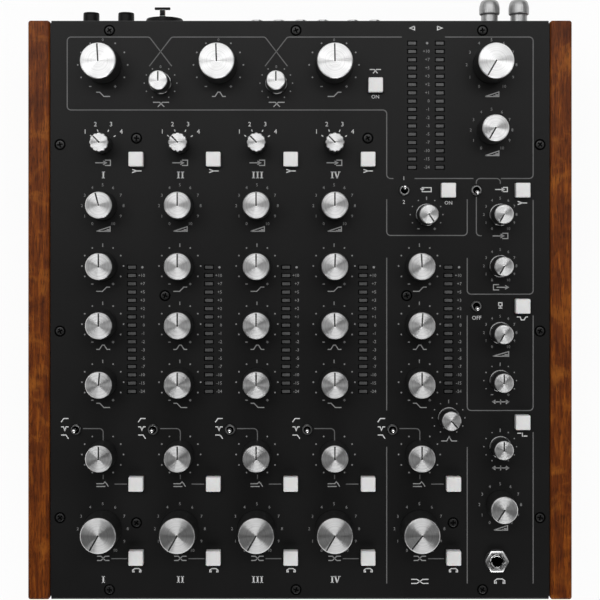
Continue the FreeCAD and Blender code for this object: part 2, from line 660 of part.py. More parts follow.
def push_switch(x, y):
    """Switch body on the board, with a well for the button's stem."""
    body = block(x, y, BOARD_TOP, SWITCH_W, SWITCH_W, SWITCH_HEIGHT)
    well_w = STEM_W + 2 * HOLE_CLEARANCE
    return body.cut(block(x, y, BOARD_TOP + POT_FLOOR, well_w, well_w, SWITCH_HEIGHT))


def toggle_switch(x, y):
    """Switch body on the board, with a bush through the panel in which the lever rocks."""
    body_height = TOGGLE_SEAT_Z - BOARD_TOP
    bush_top = PANEL_TOP + TOGGLE_BUSH_RISE
    body = block(x, y, BOARD_TOP, TOGGLE_BODY_W, TOGGLE_BODY_D, PANEL_UNDER - BOARD_TOP)
    bush = rod(x, y, PANEL_UNDER, TOGGLE_BUSH_D, bush_top - PANEL_UNDER)
    well_z = BOARD_TOP + body_height
    return body.fuse(bush).cut(rod(x, y, well_z, TOGGLE_BORE_D, bush_top - well_z))


def meter_bar(x, rows, width, depth):
    """Light pipe shaped like a comb, with one finger up into each window."""
    bar_height = BOARD_DROP - METER_BAR_GAP
    bar_depth = rows[0] - rows[-1] + depth + 2 * METER_BAR_MARGIN
    middle_y = (rows[0] + rows[-1]) / 2
    bar = block(x, middle_y, BOARD_TOP, width + 2 * METER_BAR_MARGIN, bar_depth, bar_height)
    finger_z = BOARD_TOP + bar_height
    finger_height = PANEL_TOP - WINDOW_RECESS - finger_z
    finger_size = (width - 2 * WINDOW_FIT, depth - 2 * WINDOW_FIT, finger_height)
    fingers = [block(x, y, finger_z, *finger_size) for y in rows]
    return bar.fuse(fingers).removeSplitter()


def main_board():
    """Board on pillars over the tray's floor, with its chips, power supply and ribbon cable."""
    pieces = [block(0, MAIN_BOARD_Y, MAIN_BOARD_Z, MAIN_BOARD_W, MAIN_BOARD_D, BOARD_THICK)]
    corner_x = MAIN_BOARD_W / 2 - PILLAR_D
    corner_y = MAIN_BOARD_D / 2 - PILLAR_D
    for sx in (-1, 1):
        for sy in (-1, 1):
            y = MAIN_BOARD_Y + sy * corner_y
            pieces.append(rod(sx * corner_x, y, TRAY_FLOOR, PILLAR_D, MAIN_BOARD_STAND))
    top = MAIN_BOARD_Z + BOARD_THICK
    pieces += [block(x, y, top, CHIP_W, CHIP_W, CHIP_H) for x in CHIP_X for y in CHIP_Y]
    pieces.append(block(SUPPLY_X, MAIN_BOARD_Y, top, SUPPLY_W, SUPPLY_D, SUPPLY_H))
    ribbon_height = BOARD_TOP - BOARD_THICK - top
    pieces.append(block(RIBBON_X, RIBBON_Y, top, RIBBON_W, RIBBON_THICK, ribbon_height))
    return pieces


def circuit_boards():
    pieces = [control_board()]
    for x, y in inner_screw_places():
        pillar = rod(x, y, BOARD_TOP, PILLAR_D, BOARD_DROP)
        pieces.append(pillar.cut(rod(x, y, BOARD_TOP, SCREW_D + 2 * FIT, BOARD_DROP)))
    pieces += [potentiometer(x, y) for _, _, x, y, _ in knob_places()]
    pieces += [push_switch(x, y) for x, y in button_places()]
    for _, places, _ in toggle_places():
        pieces += [toggle_switch(x, y) for x, y in places]
    pieces += [meter_bar(*meter) for meter in meter_places()]
    return pieces + main_board()


def phones_socket():
    """Socket body under the panel, held by a washer and a hexagon nut."""
    body_z = PANEL_UNDER - PHONES_BODY_DEPTH
    body = block(PHONES_X, PHONES_Y, body_z, PHONES_BODY_W, PHONES_BODY_W, PHONES_BODY_DEPTH)
    bush = rod(PHONES_X, PHONES_Y, PANEL_UNDER, JACK_BUSH_D, JACK_TOP - PANEL_UNDER)
    bore = rod(PHONES_X, PHONES_Y, JACK_TOP - JACK_BORE_DEPTH, JACK_BORE_D, JACK_BORE_DEPTH)
    seat = JACK_BUSH_D + 2 * FIT
    hole = rod(PHONES_X, PHONES_Y, PANEL_TOP, seat, JACK_TOP - PANEL_TOP)
    washer = rod(PHONES_X, PHONES_Y, PANEL_TOP, JACK_WASHER_D, JACK_WASHER_THICK).cut(hole)
    nut_z = PANEL_TOP + JACK_WASHER_THICK
    nut = hexagon(PHONES_X, PHONES_Y, nut_z, JACK_NUT_AF, JACK_NUT_THICK).cut(hole)
    return [body.fuse(bush).cut(bore), washer, nut]


def line_jack(x):
    """Round plastic socket for a jack plug, with its body behind the wall."""
    mouth_y = REAR_EDGE_Y + LINE_JACK_REACH
    body_front = WALL_INSIDE_Y - LINE_JACK_BODY_D
    body = rear_block(x, UPPER_SOCKET_Z, body_front, LINE_JACK_BODY_W, LINE_JACK_BODY_W, WALL_INSIDE_Y)
    barrel = rear_rod(x, UPPER_SOCKET_Z, WALL_INSIDE_Y, LINE_JACK_D, mouth_y)
    bore = rear_rod(x, UPPER_SOCKET_Z, mouth_y - JACK_BORE_DEPTH, JACK_BORE_D, mouth_y)
    return body.fuse(barrel).cut(bore)


def mic_socket():
    """Round flanged microphone socket and its release tab."""
    x, z = MIC_SOCKET_X, UPPER_SOCKET_Z
    mouth_y = REAR_EDGE_Y + MIC_BARREL_REACH
    barrel = rear_rod(x, z, WALL_INSIDE_Y - MIC_BODY_D, MIC_BARREL_D, mouth_y)
    flange = rear_block(x, z, WALL_Y, MIC_FLANGE_W, MIC_FLANGE_H, MIC_FLANGE_FACE_Y)
    bore = rear_rod(x, z, mouth_y - MIC_BORE_DEPTH, MIC_BORE_D, mouth_y)
    latch_z = z + MIC_BARREL_D / 2 + LATCH_THICK / 2
    bar_front = REAR_EDGE_Y + LATCH_REACH - LATCH_BAR_D
    stem = rear_block(x, latch_z, MIC_FLANGE_FACE_Y, LATCH_STEM_W, LATCH_THICK, bar_front)
    bar = rear_block(x, latch_z, bar_front, LATCH_BAR_W, LATCH_THICK, bar_front + LATCH_BAR_D)
    return [barrel.fuse(flange).cut(bore), stem.fuse(bar).removeSplitter()]


def phono_socket(x):
    """Phono socket: a metal sleeve with a pin hole, seated on its flange."""
    z = LOWER_SOCKET_Z
    mouth_y = REAR_EDGE_Y + PHONO_REACH
    flange_y = WALL_Y + PHONO_FLANGE_THICK
    body = rear_rod(x, z, WALL_INSIDE_Y - PHONO_BODY_LENGTH, PHONO_BODY_D, WALL_Y)
    flange = rear_rod(x, z, WALL_Y, PHONO_FLANGE_D, flange_y)
    sleeve = rear_rod(x, z, flange_y, PHONO_D, mouth_y)
    bore = rear_rod(x, z, mouth_y - PHONO_BORE_DEPTH, PHONO_BORE_D, mouth_y)
    return body.fuse([flange, sleeve]).cut(bore)


def data_socket():
    """Square data socket with a tongue set back in its shell."""
    x, z = DATA_SOCKET_X, LOWER_SOCKET_Z
    floor_y = DATA_FACE_Y - DATA_CAVITY_D
    shell = rear_block(x, z, DATA_FACE_Y - DATA_SHELL_D, DATA_SHELL_W, DATA_SHELL_H, DATA_FACE_Y)
    cavity = rear_block(x, z, floor_y, DATA_CAVITY_W, DATA_CAVITY_H, DATA_FACE_Y)
    tongue_end = DATA_FACE_Y - DATA_TONGUE_SETBACK
    tongue = rear_block(x, z, floor_y, DATA_TONGUE_W, DATA_TONGUE_H, tongue_end)
    return shell.cut(cavity).fuse(tongue).removeSplitter()


def mains_inlet():
    """Three-pin mains inlet with its flange on the wall."""
    x, z = INLET_X, INLET_Z
    floor_y = INLET_FACE_Y - INLET_CAVITY_D
    flange = rear_block(x, z, WALL_Y, INLET_FLANGE_W, INLET_FLANGE_H, INLET_FACE_Y)
    body = rear_block(x, z, INLET_FACE_Y - INLET_BODY_D, INLET_BODY_W, INLET_BODY_H, INLET_FACE_Y)
    cavity = rear_block(x, z, floor_y, INLET_CAVITY_W, INLET_CAVITY_H, INLET_FACE_Y)
    pin_end = INLET_FACE_Y - INLET_PIN_SETBACK
    pins = []
    for step, rise in ((-1, 0), (0, INLET_EARTH_RISE), (1, 0)):
        pin_x = x + INLET_PIN_PITCH * step
        pins.append(rear_block(pin_x, z + rise, floor_y, INLET_PIN_W, INLET_PIN_H, pin_end))
    return flange.fuse(body).cut(cavity).fuse(pins).removeSplitter()


def ground_post(x):
    """Slotted earth terminal: shank through the wall, neck and round finger nut."""
    z = UPPER_SOCKET_Z
    neck_y = REAR_EDGE_Y + POST_NECK_REACH
    end_y = REAR_EDGE_Y + POST_REACH
    nut = rear_rod(x, z, neck_y, POST_D, end_y)
    nut = nut.makeFillet(POST_END_R, edges_where(nut, lambda p: near(p.y, end_y)))
    slot = rear_block(x, z, end_y - POST_SLOT_DEPTH, POST_SLOT_W, POST_D, end_y)
    neck = rear_rod(x, z, WALL_Y, POST_NECK_D, neck_y)
    shank = rear_rod(x, z, WALL_Y - POST_SHANK_LENGTH, POST_SHANK_D, WALL_Y)
    return nut.cut(slot).fuse([neck, shank])


def sockets():
    pieces = phones_socket() + mic_socket()
    pieces += [line_jack(x) for x in LINE_JACK_X]
    pieces += [phono_socket(x) for x in PHONO_X]
    pieces += [data_socket(), mains_inlet()]
    return pieces + [ground_post(x) for x in POST_X]


KNOB_SIZES = {
    "large": (LARGE_CAP_D, LARGE_BASE_D, LARGE_HEIGHT),
    "medium": (MEDIUM_CAP_D, MEDIUM_BASE_D, MEDIUM_HEIGHT),
    "small": (SMALL_CAP_D, SMALL_BASE_D, SMALL_HEIGHT),
    "fluted": (SMALL_CAP_D, SMALL_BASE_D, SMALL_HEIGHT),
}


def flute_tools(cap_d, height):
    """Upright rods that scallop the edge of a fluted knob."""
    ring_r = cap_d / 2 + FLUTE_R - FLUTE_DEPTH
    tools = []
    for i in range(FLUTES):
        angle = 2 * math.pi * i / FLUTES
        tools.append(rod(ring_r * math.cos(angle), ring_r * math.sin(angle), PANEL_TOP, 2 * FLUTE_R, height))
    return tools


def knob(kind, x, y, pointer):
    """Turning knob: plastic body, spun cap with a pointer groove, and the shaft that carries both."""
    cap_d, base_d, height = KNOB_SIZES[kind]
    foot_z = PANEL_TOP + KNOB_GAP
    top_z = PANEL_TOP + height
    cap_z = top_z - CAP_THICK
    base_r = base_d / 2
    outline = [(0, foot_z)]
    if kind == "small":
        skirt_z = foot_z + SKIRT_HEIGHT
        outline += [(SKIRT_D / 2, foot_z), (SKIRT_D / 2, skirt_z - KNOB_FOOT_BEVEL), (base_r, skirt_z)]
    else:
        outline += [(base_r - KNOB_FOOT_BEVEL, foot_z), (base_r, foot_z + KNOB_FOOT_BEVEL)]
    outline += [(cap_d / 2 + KNOB_RIM, cap_z), (0, cap_z)]
    body = turned(outline)
    cap_r = cap_d / 2
    cap_edge = [(cap_r, cap_z), (cap_r, top_z - CAP_CHAMFER), (cap_r - CAP_CHAMFER, top_z)]
    cap = turned([(0, cap_z)] + cap_edge + [(0, top_z)])
    groove = Part.makeBox(POINTER_WIDTH, cap_r, POINTER_DEPTH, V(-POINTER_WIDTH / 2, 0, top_z - POINTER_DEPTH))
    cap = cap.cut(groove)
    if kind == "fluted":
        tools = flute_tools(cap_d, height)
        body = cut_all(body, tools)
        cap = cut_all(cap, tools)
    bore_top = cap_z - KNOB_ROOF
    body = body.cut(rod(0, 0, foot_z, SHAFT_D + 2 * FIT, bore_top - foot_z))
    shaft_z = BOARD_TOP + POT_FLOOR + RUN_CLEARANCE
    shaft = rod(0, 0, shaft_z, SHAFT_D, bore_top - shaft_z)
    pieces = [body, cap, shaft]
    for piece in pieces:
        piece.rotate(V(), UP, -pointer)
        piece.translate(V(x, y, 0))
    return pieces


def push_button(x, y):
    """Square cap with a stem down into its switch."""
    under = PANEL_TOP - BUTTON_SINK
    top = PANEL_TOP + BUTTON_RISE
    cap = block(x, y, under, BUTTON_W, BUTTON_W, top - under)
    cap = cap.makeFillet(BUTTON_EDGE_R, edges_where(cap, lambda p: p.z > under + BUTTON_EDGE_R))
    stem_z = BOARD_TOP + POT_FLOOR + RUN_CLEARANCE + BUTTON_TRAVEL
    return cap.fuse(block(x, y, stem_z, STEM_W, STEM_W, under - stem_z))


def toggle_lever(x, y, tilt):
    """Bat lever on a ball, leaning by tilt about X."""
    pivot = V(x, y, TOGGLE_PIVOT_Z)
    tip_r = LEVER_TIP_D / 2
    reach = LEVER_LENGTH - tip_r
    ball = Part.makeSphere(TOGGLE_BALL_D / 2, pivot)
    bat = Part.makeCone(LEVER_NECK_D / 2, tip_r, reach, pivot)
    tip = Part.makeSphere(tip_r, pivot + UP * reach)
    lever = ball.fuse([bat, tip])
    lever.rotate(pivot, SIDEWAYS, tilt)
    return lever


def export(name, pieces):
    """Writes one node, moved so that the origin is under the middle of the outline."""
    solids = []
    for piece in pieces:
        moved = piece.copy()
        moved.translate(FRAME_SHIFT)
        solids += moved.Solids
    shape = Part.makeCompound(solids) if len(solids) > 1 else solids[0]
    shape.exportStep(f"parts/{name}.step")


def main():
    os.makedirs("parts", exist_ok=True)
    export("top_panel", [top_panel()])
    export("chassis_tray", [chassis_tray()])
    export("wood_cheeks", wood_cheeks())
    export("rubber_feet", rubber_feet())
    export("case_screws", case_screws())
    export("circuit_boards", circuit_boards())
    export("sockets", sockets())
    export("push_buttons", [push_button(x, y) for x, y in button_places()])
    for name, places, tilt in toggle_places():
        export(name, [toggle_lever(x, y, tilt) for x, y in places])
    for name, kind, x, y, pointer in knob_places():
        export(name, knob(kind, x, y, pointer))


main()
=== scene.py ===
import json
import math

import bmesh
import bpy
from mathutils import Matrix, Vector


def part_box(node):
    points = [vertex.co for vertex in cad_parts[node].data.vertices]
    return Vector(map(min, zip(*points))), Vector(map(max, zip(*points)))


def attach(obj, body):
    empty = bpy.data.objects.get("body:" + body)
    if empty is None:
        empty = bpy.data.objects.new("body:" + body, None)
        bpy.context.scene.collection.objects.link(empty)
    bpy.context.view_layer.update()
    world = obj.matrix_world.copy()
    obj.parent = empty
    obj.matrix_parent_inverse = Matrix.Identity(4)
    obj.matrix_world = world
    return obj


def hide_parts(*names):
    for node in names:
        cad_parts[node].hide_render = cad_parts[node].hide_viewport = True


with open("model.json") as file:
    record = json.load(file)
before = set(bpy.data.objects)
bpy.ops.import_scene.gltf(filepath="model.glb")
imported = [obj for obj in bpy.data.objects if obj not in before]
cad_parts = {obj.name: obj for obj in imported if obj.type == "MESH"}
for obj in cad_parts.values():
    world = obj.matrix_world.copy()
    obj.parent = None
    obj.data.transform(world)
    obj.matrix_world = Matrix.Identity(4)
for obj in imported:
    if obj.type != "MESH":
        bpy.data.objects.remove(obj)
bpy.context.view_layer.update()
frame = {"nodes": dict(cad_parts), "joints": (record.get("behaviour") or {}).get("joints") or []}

# Looks of a table-top rotary mixer. Lengths in millimetres are turned to metres by MM where a mesh is made.

MM = 0.001
WELD_GAP = 0.000001
CASE_MIDDLE_Y = sum(corner.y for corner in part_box("wood_cheeks")) / 2 / MM
PANEL_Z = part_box("top_panel")[1].z / MM

# Photograph: scale on the panel and where the camera stands, from the middle of the case
PHOTO_PIXELS = 600
MM_PER_PIXEL = 0.625
CAMERA_X = -1.6
CAMERA_Y = 43.4
CAMERA_RISE = 800.0
VIEW_MIDDLE_Y = 6.25
SENSOR = 36.0

# Knobs: cap diameter, base diameter, height over the panel, scale radius, drop of the sign under it
KNOB_SIZES = {
    "large": (21.8, 23.6, 20.0, 15.6, 18.4),
    "medium": (16.4, 18.0, 17.6, 13.0, 14.5),
    "small": (11.7, 12.6, 16.0, 10.2, 13.3),
    "fluted": (11.7, 12.6, 16.0, 12.6, 11.8),
}
SKIRT_D = 14.4
SKIRT_HEIGHT = 1.6
SKIRT_EDGE_R = 0.9
SKIRT_LAP = 0.4
KNOB_GAP = 0.8
CAP_THICK = 1.4
CAP_CHAMFER = 0.5
POINTER_W = 0.9
POINTER_DEPTH = 0.3
SHAFT_R = 2.5
SHAFT_DROP = 13.0
SHAFT_GRIP = 2.0
FLUTES = 12
FLUTE_DEPTH = 0.45
SWEEP = 150.0
SELECTOR_FIRST = -45.0
TURN_STEPS = 72

# Buttons, levers and their bushes
BUTTON_W = 9.1
BUTTON_EDGE = 0.7
BUTTON_SINK = 3.0
STEM_W = 3.4
STEM_EDGE = 0.2
LEVER_LENGTH = 9.5
LEVER_TILT = 12.0
LEVER_BALL_R = 1.9
LEVER_NECK_R = 0.95
LEVER_TIP_R = 1.45
BUSH_R = 3.2
BUSH_RISE = 1.65
BUSH_BORE_R = 2.2
BUSH_SINK = 0.3
BUSH_CHAMFER = 0.35

# Meter lenses and screw heads
WINDOW_DROP = 0.5
LENS_LIFT = 0.05
LENS_THICK = 0.4
LENS_EDGE = 0.18
LENS_GAP_ACROSS = 1.0
LENS_GAP_ALONG = 0.9
SCREW_R = 2.45
SCREW_RISE = 0.26
SCREW_TURN = 37.0
# Flat near-black ring lying on the panel round each screw head: a painted countersink shadow
SHADOW_RING_R = 3.55
SHADOW_RING_THICK = 0.04
CROSS_R = 1.75
CROSS_W = 0.95
CROSS_DEPTH = 0.19

# Sockets: places across and up the rear wall, then sizes
LINE_JACK_X = (-135.2, -112.6)
MIC_SOCKET_X = -87.7
PHONO_X = (-28.5, -13.9, 0.7, 15.3, 35.1, 49.7)
DATA_SOCKET_X = 84.0
INLET_X = 124.0
EARTH_POST_X = (122.9, 141.9)
UPPER_SOCKET_Z = 58.0
LOWER_SOCKET_Z = 38.0
INLET_Z = 31.0
WALL_Y = -2.1
PHONES_LEFT = 2.3
PHONES_DROP = 19.9
PHONES_NUT_W = 13.0
JACK_BORE_R = 3.25
LINE_JACK_R = 5.2
LINE_NUT_W = 14.0
LINE_JACK_BLOCK = (15.0, 13.4, 15.0)
LINE_JACK_BLOCK_Y = -17.3
MIC_FLANGE = (26.0, 2.0, 30.0)
MIC_BARREL_R = 12.0
MIC_BORE_R = 9.5
MIC_PIN_RING_R = 4.6
MIC_SCREW_X = 10.4
MIC_SCREW_Z = 12.2
LATCH_RISE = 12.9
PHONO_R = 4.15
INLET_FLANGE = (50.0, 2.0, 24.0)
INLET_MOUTH_W = 24.2
INLET_MOUTH_H = 16.4
INLET_WALL = 1.9
INLET_DEPTH = 18.0
INLET_SCREW_X = 20.0
INLET_PINS = ((-7.0, 0.0), (0.0, 3.5), (7.0, 0.0))
DATA_MOUTH_W = 8.6
DATA_MOUTH_H = 7.8
DATA_DEPTH = 15.8
DATA_TONGUE_DROP = 8.4
EARTH_POST_REACH = 17.8
KNURLS = 40
KNURL_DEPTH = 0.10
GRIP_LOW = 9.5
GRIP_HIGH = 14.5

# Printed lines and signs on the panel
INK_LIFT = 0.02
INK_THICK = 0.03
LINE_W = 0.62
SIGN_W = 0.62
DOT_R = 0.52
DIGIT_SIZE = 2.7
METER_DIGIT_SIZE = 2.75
SELECTOR_DIGITS = ((-11.0, 7.6), (-4.6, 12.2), (5.2, 12.2), (11.6, 7.6))
SELECTOR_DIGIT_SIZE = 4.0
SELECTOR_TICK = (8.2, 9.6)
SCALE_STEPS = 10
TOP_MARK_R = 1.1
END_SIGN_R = 0.75
CORNER_R = 2.4
FILTER_SIGN_DROP = 18.6
WIDE_SIGN_W = 8.6
SMALL_KNOB_SIGN_W = 10.0
KNOB_SIGN_H = 3.3
METER_DIGIT_X = 26.4
MAIN_METER_DIGIT_X = 2.3
METER_SIGN_RISE = 9.4
METER_SIGN = (5.0, 2.6)
OVERLOAD_DOT_R = 0.75
OVERLOAD_DOT_LEFT = 1.6
NUMERAL_H = 4.2
NUMERAL_PITCH = 2.5
NUMERAL_BAR = 0.9
SERIF = 0.45


def knob_kind(node):
    """The kind whose width, at its base or skirt, is the node's own."""
    low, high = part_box(node)
    width = (high.x - low.x) / MM
    widths = {kind: sizes[1] for kind, sizes in KNOB_SIZES.items()}
    widths["small"] = SKIRT_D
    return min(widths, key=lambda kind: abs(widths[kind] - width))


def read_knobs():
    """Every knob of the frame as node: (kind, x, y, pointer), in millimetres and degrees clockwise."""
    found = {}
    for joint in frame["joints"]:
        if not joint["name"].endswith("_turn"):
            continue
        node = joint["child"]
        kind = knob_kind(node)
        x, y, _ = joint["pos_m"]
        pointer = SELECTOR_FIRST if kind == "fluted" else -SWEEP - joint["range_deg"][0]
        found[node] = (kind, x / MM, y / MM, pointer)
    return found


KNOBS = read_knobs()
STRIP_X = [KNOBS[f"mix_knob_{i}"][1] for i in range(1, 6)]
CHANNEL_X = STRIP_X[:4]
RIGHT_X = KNOBS["session_in_knob"][1]


def knob_y(node):
    return KNOBS[node][2]


def near(box, other, gap=0.1):
    apart_x = box[0] > other[2] + gap or box[2] < other[0] - gap
    apart_y = box[1] > other[3] + gap or box[3] < other[1] - gap
    return not apart_x and not apart_y


def top_faces(node, height):
    """Boxes (x, y, width, depth) of a node's separate upward faces at a height, in millimetres."""
    boxes = []
    mesh = frame["nodes"][node].data
    for polygon in mesh.polygons:
        if polygon.normal.z < 0.99 or abs(polygon.center.z / MM - height) > 0.05:
            continue
        corners = [mesh.vertices[i].co / MM for i in polygon.vertices]
        across, along = [c.x for c in corners], [c.y for c in corners]
        boxes.append([min(across), min(along), max(across), max(along)])
    merged = []
    for box in boxes:
        touching = [other for other in merged if near(box, other)]
        merged = [other for other in merged if other not in touching]
        for other in touching:
            box = [*map(min, box[:2], other[:2]), *map(max, box[2:], other[2:])]
        merged.append(box)
    return [((a + c) / 2, (b + d) / 2, c - a, d - b) for a, b, c, d in merged]


# Shader tools

def add_node(tree, kind, **values):
    node = tree.nodes.new(kind)
    for name, value in values.items():
        setattr(node, name, value)
    return node


def put(tree, socket, value):
    """Links an output socket to an input, or sets a plain value on it."""
    if isinstance(value, bpy.types.NodeSocket):
        tree.links.new(value, socket)
    else:
        socket.default_value = value


def noise(tree, vector, scale, detail=3.0, roughness=0.55, distortion=0.0):
    node = add_node(tree, "ShaderNodeTexNoise")
    values = {
        "Vector": vector, "Scale": scale, "Detail": detail, "Roughness": roughness, "Distortion": distortion,
    }
    for name, value in values.items():
        put(tree, node.inputs[name], value)
    return node.outputs["Fac"]


def remap(tree, value, low, high, to_low, to_high):
    node = add_node(tree, "ShaderNodeMapRange")
    for socket, item in zip(node.inputs, (value, low, high, to_low, to_high)):
        put(tree, socket, item)
    return node.outputs["Result"]


def math_node(tree, operation, *values):
    node = add_node(tree, "ShaderNodeMath", operation=operation)
    for socket, value in zip(node.inputs, values):
        put(tree, socket, value)
    return node.outputs["Value"]


def mix_colour(tree, factor, a, b, blend="MIX"):
    node = add_node(tree, "ShaderNodeMix", data_type="RGBA", blend_type=blend)
    put(tree, node.inputs["Factor"], factor)
    put(tree, node.inputs["A"], a)
    put(tree, node.inputs["B"], b)
    return node.outputs["Result"]


def object_coordinates(tree):
    return add_node(tree, "ShaderNodeTexCoord").outputs["Object"]


def parts_of(tree, vector):
    """The X, Y and Z of a vector."""
    node = add_node(tree, "ShaderNodeSeparateXYZ")
    put(tree, node.inputs["Vector"], vector)
    return node.outputs


def stretched(tree, vector, scale):
    node = add_node(tree, "ShaderNodeMapping")
    put(tree, node.inputs["Vector"], vector)
    put(tree, node.inputs["Scale"], scale)
    return node.outputs["Vector"]


def new_group(name, inputs, outputs):
    """An empty node group with named float inputs and outputs."""
    tree = bpy.data.node_groups.new(name, "ShaderNodeTree")
    for label in inputs:
        tree.interface.new_socket(label, in_out="INPUT", socket_type="NodeSocketFloat")
    for label in outputs:
        tree.interface.new_socket(label, in_out="OUTPUT", socket_type="NodeSocketFloat")
    return tree, tree.nodes.new("NodeGroupInput"), tree.nodes.new("NodeGroupOutput")


def mottle_group():
    """Cloudy variation, fine grain and sparse specks over any surface."""
    tree, given, made = new_group("mottle", ("Cloud Scale", "Grain Scale"), ("Cloud", "Grain", "Specks"))
    place = object_coordinates(tree)
    cloud = noise(tree, place, given.outputs["Cloud Scale"], 4.0)
    grain = noise(tree, place, given.outputs["Grain Scale"], 2.0)
    specks = noise(tree, place, given.outputs["Grain Scale"], 5.0, 0.7)
    put(tree, made.inputs["Cloud"], remap(tree, cloud, 0.3, 0.7, 0.0, 1.0))
    put(tree, made.inputs["Grain"], grain)
    put(tree, made.inputs["Specks"], remap(tree, specks, 0.66, 0.74, 0.0, 1.0))
    return tree


def turned_group():
    """Fine circular tool marks about the piece's own axis."""
    tree, given, made = new_group("turned_marks", ("Rings Per Metre",), ("Rings", "Streaks"))
    place = parts_of(tree, object_coordinates(tree))
    square_x = math_node(tree, "MULTIPLY", place["X"], place["X"])
    square_y = math_node(tree, "MULTIPLY", place["Y"], place["Y"])
    radius = math_node(tree, "SQRT", math_node(tree, "ADD", square_x, square_y))
    along = add_node(tree, "ShaderNodeCombineXYZ")
    put(tree, along.inputs["X"], math_node(tree, "MULTIPLY", radius, given.outputs["Rings Per Metre"]))
    put(tree, made.inputs["Rings"], noise(tree, along.outputs["Vector"], 1.0, 2.0))
    put(tree, made.inputs["Streaks"], noise(tree, along.outputs["Vector"], 0.19, 3.0))
    return tree


MOTTLE = mottle_group()
TURNED = turned_group()


def use_group(tree, group, **values):
    node = add_node(tree, "ShaderNodeGroup", node_tree=group)
    for name, value in values.items():
        put(tree, node.inputs[name.replace("_", " ")], value)
    return node.outputs


def material_of(name, shader_kind):
    """A material with only one shader on its surface."""
    material = bpy.data.materials.new(name)
    material.use_nodes = True
    tree = material.node_tree
    tree.nodes.clear()
    shader = add_node(tree, shader_kind)
    output = add_node(tree, "ShaderNodeOutputMaterial")
    tree.links.new(shader.outputs[0], output.inputs["Surface"])
    return material, tree, shader


def new_material(name, **plain):
    """A material with plain values on its shader's own sockets."""
    material, tree, shader = material_of(name, "ShaderNodeBsdfPrincipled")
    for label, value in plain.items():
        shader.inputs[label.replace("_", " ")].default_value = value
    return material, tree, shader


def bump(tree, shader, height, strength, distance):
    node = add_node(tree, "ShaderNodeBump")
    node.inputs["Strength"].default_value = strength
    node.inputs["Distance"].default_value = distance
    put(tree, node.inputs["Height"], height)
    put(tree, shader.inputs["Normal"], node.outputs["Normal"])


def grey(value, warm=0.0):
    return (value * (1 + warm), value, value * (1 - warm), 1.0)


def tone(value):
    """A grey from one number, or a colour as it is."""
    return grey(value) if isinstance(value, float) else value


def mottled_material(name, dark, light, rough, cloud=40.0, grain=1500.0, depth=0.00006, **plain):
    """Two close colours in soft clouds, roughness that follows them, and a fine grain."""
    material, tree, shader = new_material(name, **plain)
    marks = use_group(tree, MOTTLE, Cloud_Scale=cloud, Grain_Scale=grain)
    put(tree, shader.inputs["Base Color"], mix_colour(tree, marks["Cloud"], tone(dark), tone(light)))
    put(tree, shader.inputs["Roughness"], remap(tree, marks["Cloud"], 0.0, 1.0, *rough))
    bump(tree, shader, marks["Grain"], 0.35, depth)
    return material


def panel_paint():
    """Satin black powder coat with a fine orange-peel texture and a trace of dust."""
    material, tree, shader = new_material("panel_satin_black", IOR=1.45, Specular_IOR_Level=0.26)
    marks = use_group(tree, MOTTLE, Cloud_Scale=14.0, Grain_Scale=1900.0)
    base = mix_colour(tree, marks["Cloud"], grey(0.0036), grey(0.0048))
    dusty = mix_colour(tree, math_node(tree, "MULTIPLY", marks["Specks"], 0.06), base, grey(0.10))
    put(tree, shader.inputs["Base Color"], dusty)
    put(tree, shader.inputs["Roughness"], remap(tree, marks["Cloud"], 0.0, 1.0, 0.44, 0.50))
    bump(tree, shader, marks["Grain"], 0.30, 0.00010)
    return material


# Oiled mahogany, from its darkest grain to its flames
WOOD_DARK = (0.074, 0.0146, 0.0020, 1.0)
WOOD_MIDDLE = (0.137, 0.0308, 0.0034, 1.0)
WOOD_LIGHT = (0.256, 0.0660, 0.0066, 1.0)
WOOD_FLAME = (0.300, 0.0900, 0.0100, 1.0)
WOOD_SHADE = (0.040, 0.0085, 0.0017, 1.0)
WOOD_PORE = (0.024, 0.0060, 0.0015, 1.0)


def wood_grain(tree, ribbon):
    """Dark, middle and light wood along the ribbon grain."""
    ramp = add_node(tree, "ShaderNodeValToRGB")
    ramp.color_ramp.elements.new(0.52)
    stops = ((0.33, WOOD_DARK), (0.52, WOOD_MIDDLE), (0.70, WOOD_LIGHT))
    for element, (position, colour) in zip(ramp.color_ramp.elements, stops):
        element.position = position
        element.color = colour
    put(tree, ramp.inputs["Fac"], ribbon)
    return ramp.outputs["Color"]


def cheek_wood():
    """Fine ribbon grain with short dark pores, and soft flames and shades where the face looks up."""
    material, tree, shader = new_material(
        "cheek_mahogany", IOR=1.48, Specular_IOR_Level=0.14, Coat_Weight=0.02, Coat_Roughness=0.35)
    place = object_coordinates(tree)
    ribbon = noise(tree, stretched(tree, place, (520.0, 34.0, 460.0)), 1.0, 5.0, 0.62, 0.4)
    figure = noise(tree, stretched(tree, place, (48.0, 46.0, 22.0)), 1.0, 4.0, 0.55, 0.9)
    pores = noise(tree, stretched(tree, place, (1700.0, 170.0, 1500.0)), 1.0, 2.0, 0.5)
    facing = parts_of(tree, add_node(tree, "ShaderNodeNewGeometry").outputs["Normal"])
    upward = remap(tree, facing["Z"], 0.3, 0.9, 0.08, 0.74)
    flame = math_node(tree, "MULTIPLY", remap(tree, figure, 0.54, 0.72, 0.0, 1.0), upward)
    shade = math_node(tree, "MULTIPLY", remap(tree, figure, 0.28, 0.50, 0.75, 0.0), upward)
    pore_mask = remap(tree, pores, 0.52, 0.66, 0.0, 0.6)
    colour = mix_colour(tree, flame, wood_grain(tree, ribbon), WOOD_FLAME)
    colour = mix_colour(tree, shade, colour, WOOD_SHADE)
    put(tree, shader.inputs["Base Color"], mix_colour(tree, pore_mask, colour, WOOD_PORE))
    put(tree, shader.inputs["Roughness"], remap(tree, ribbon, 0.3, 0.7, 0.46, 0.36))
    bump(tree, shader, math_node(tree, "SUBTRACT", ribbon, pore_mask), 0.25, 0.00012)
    return material


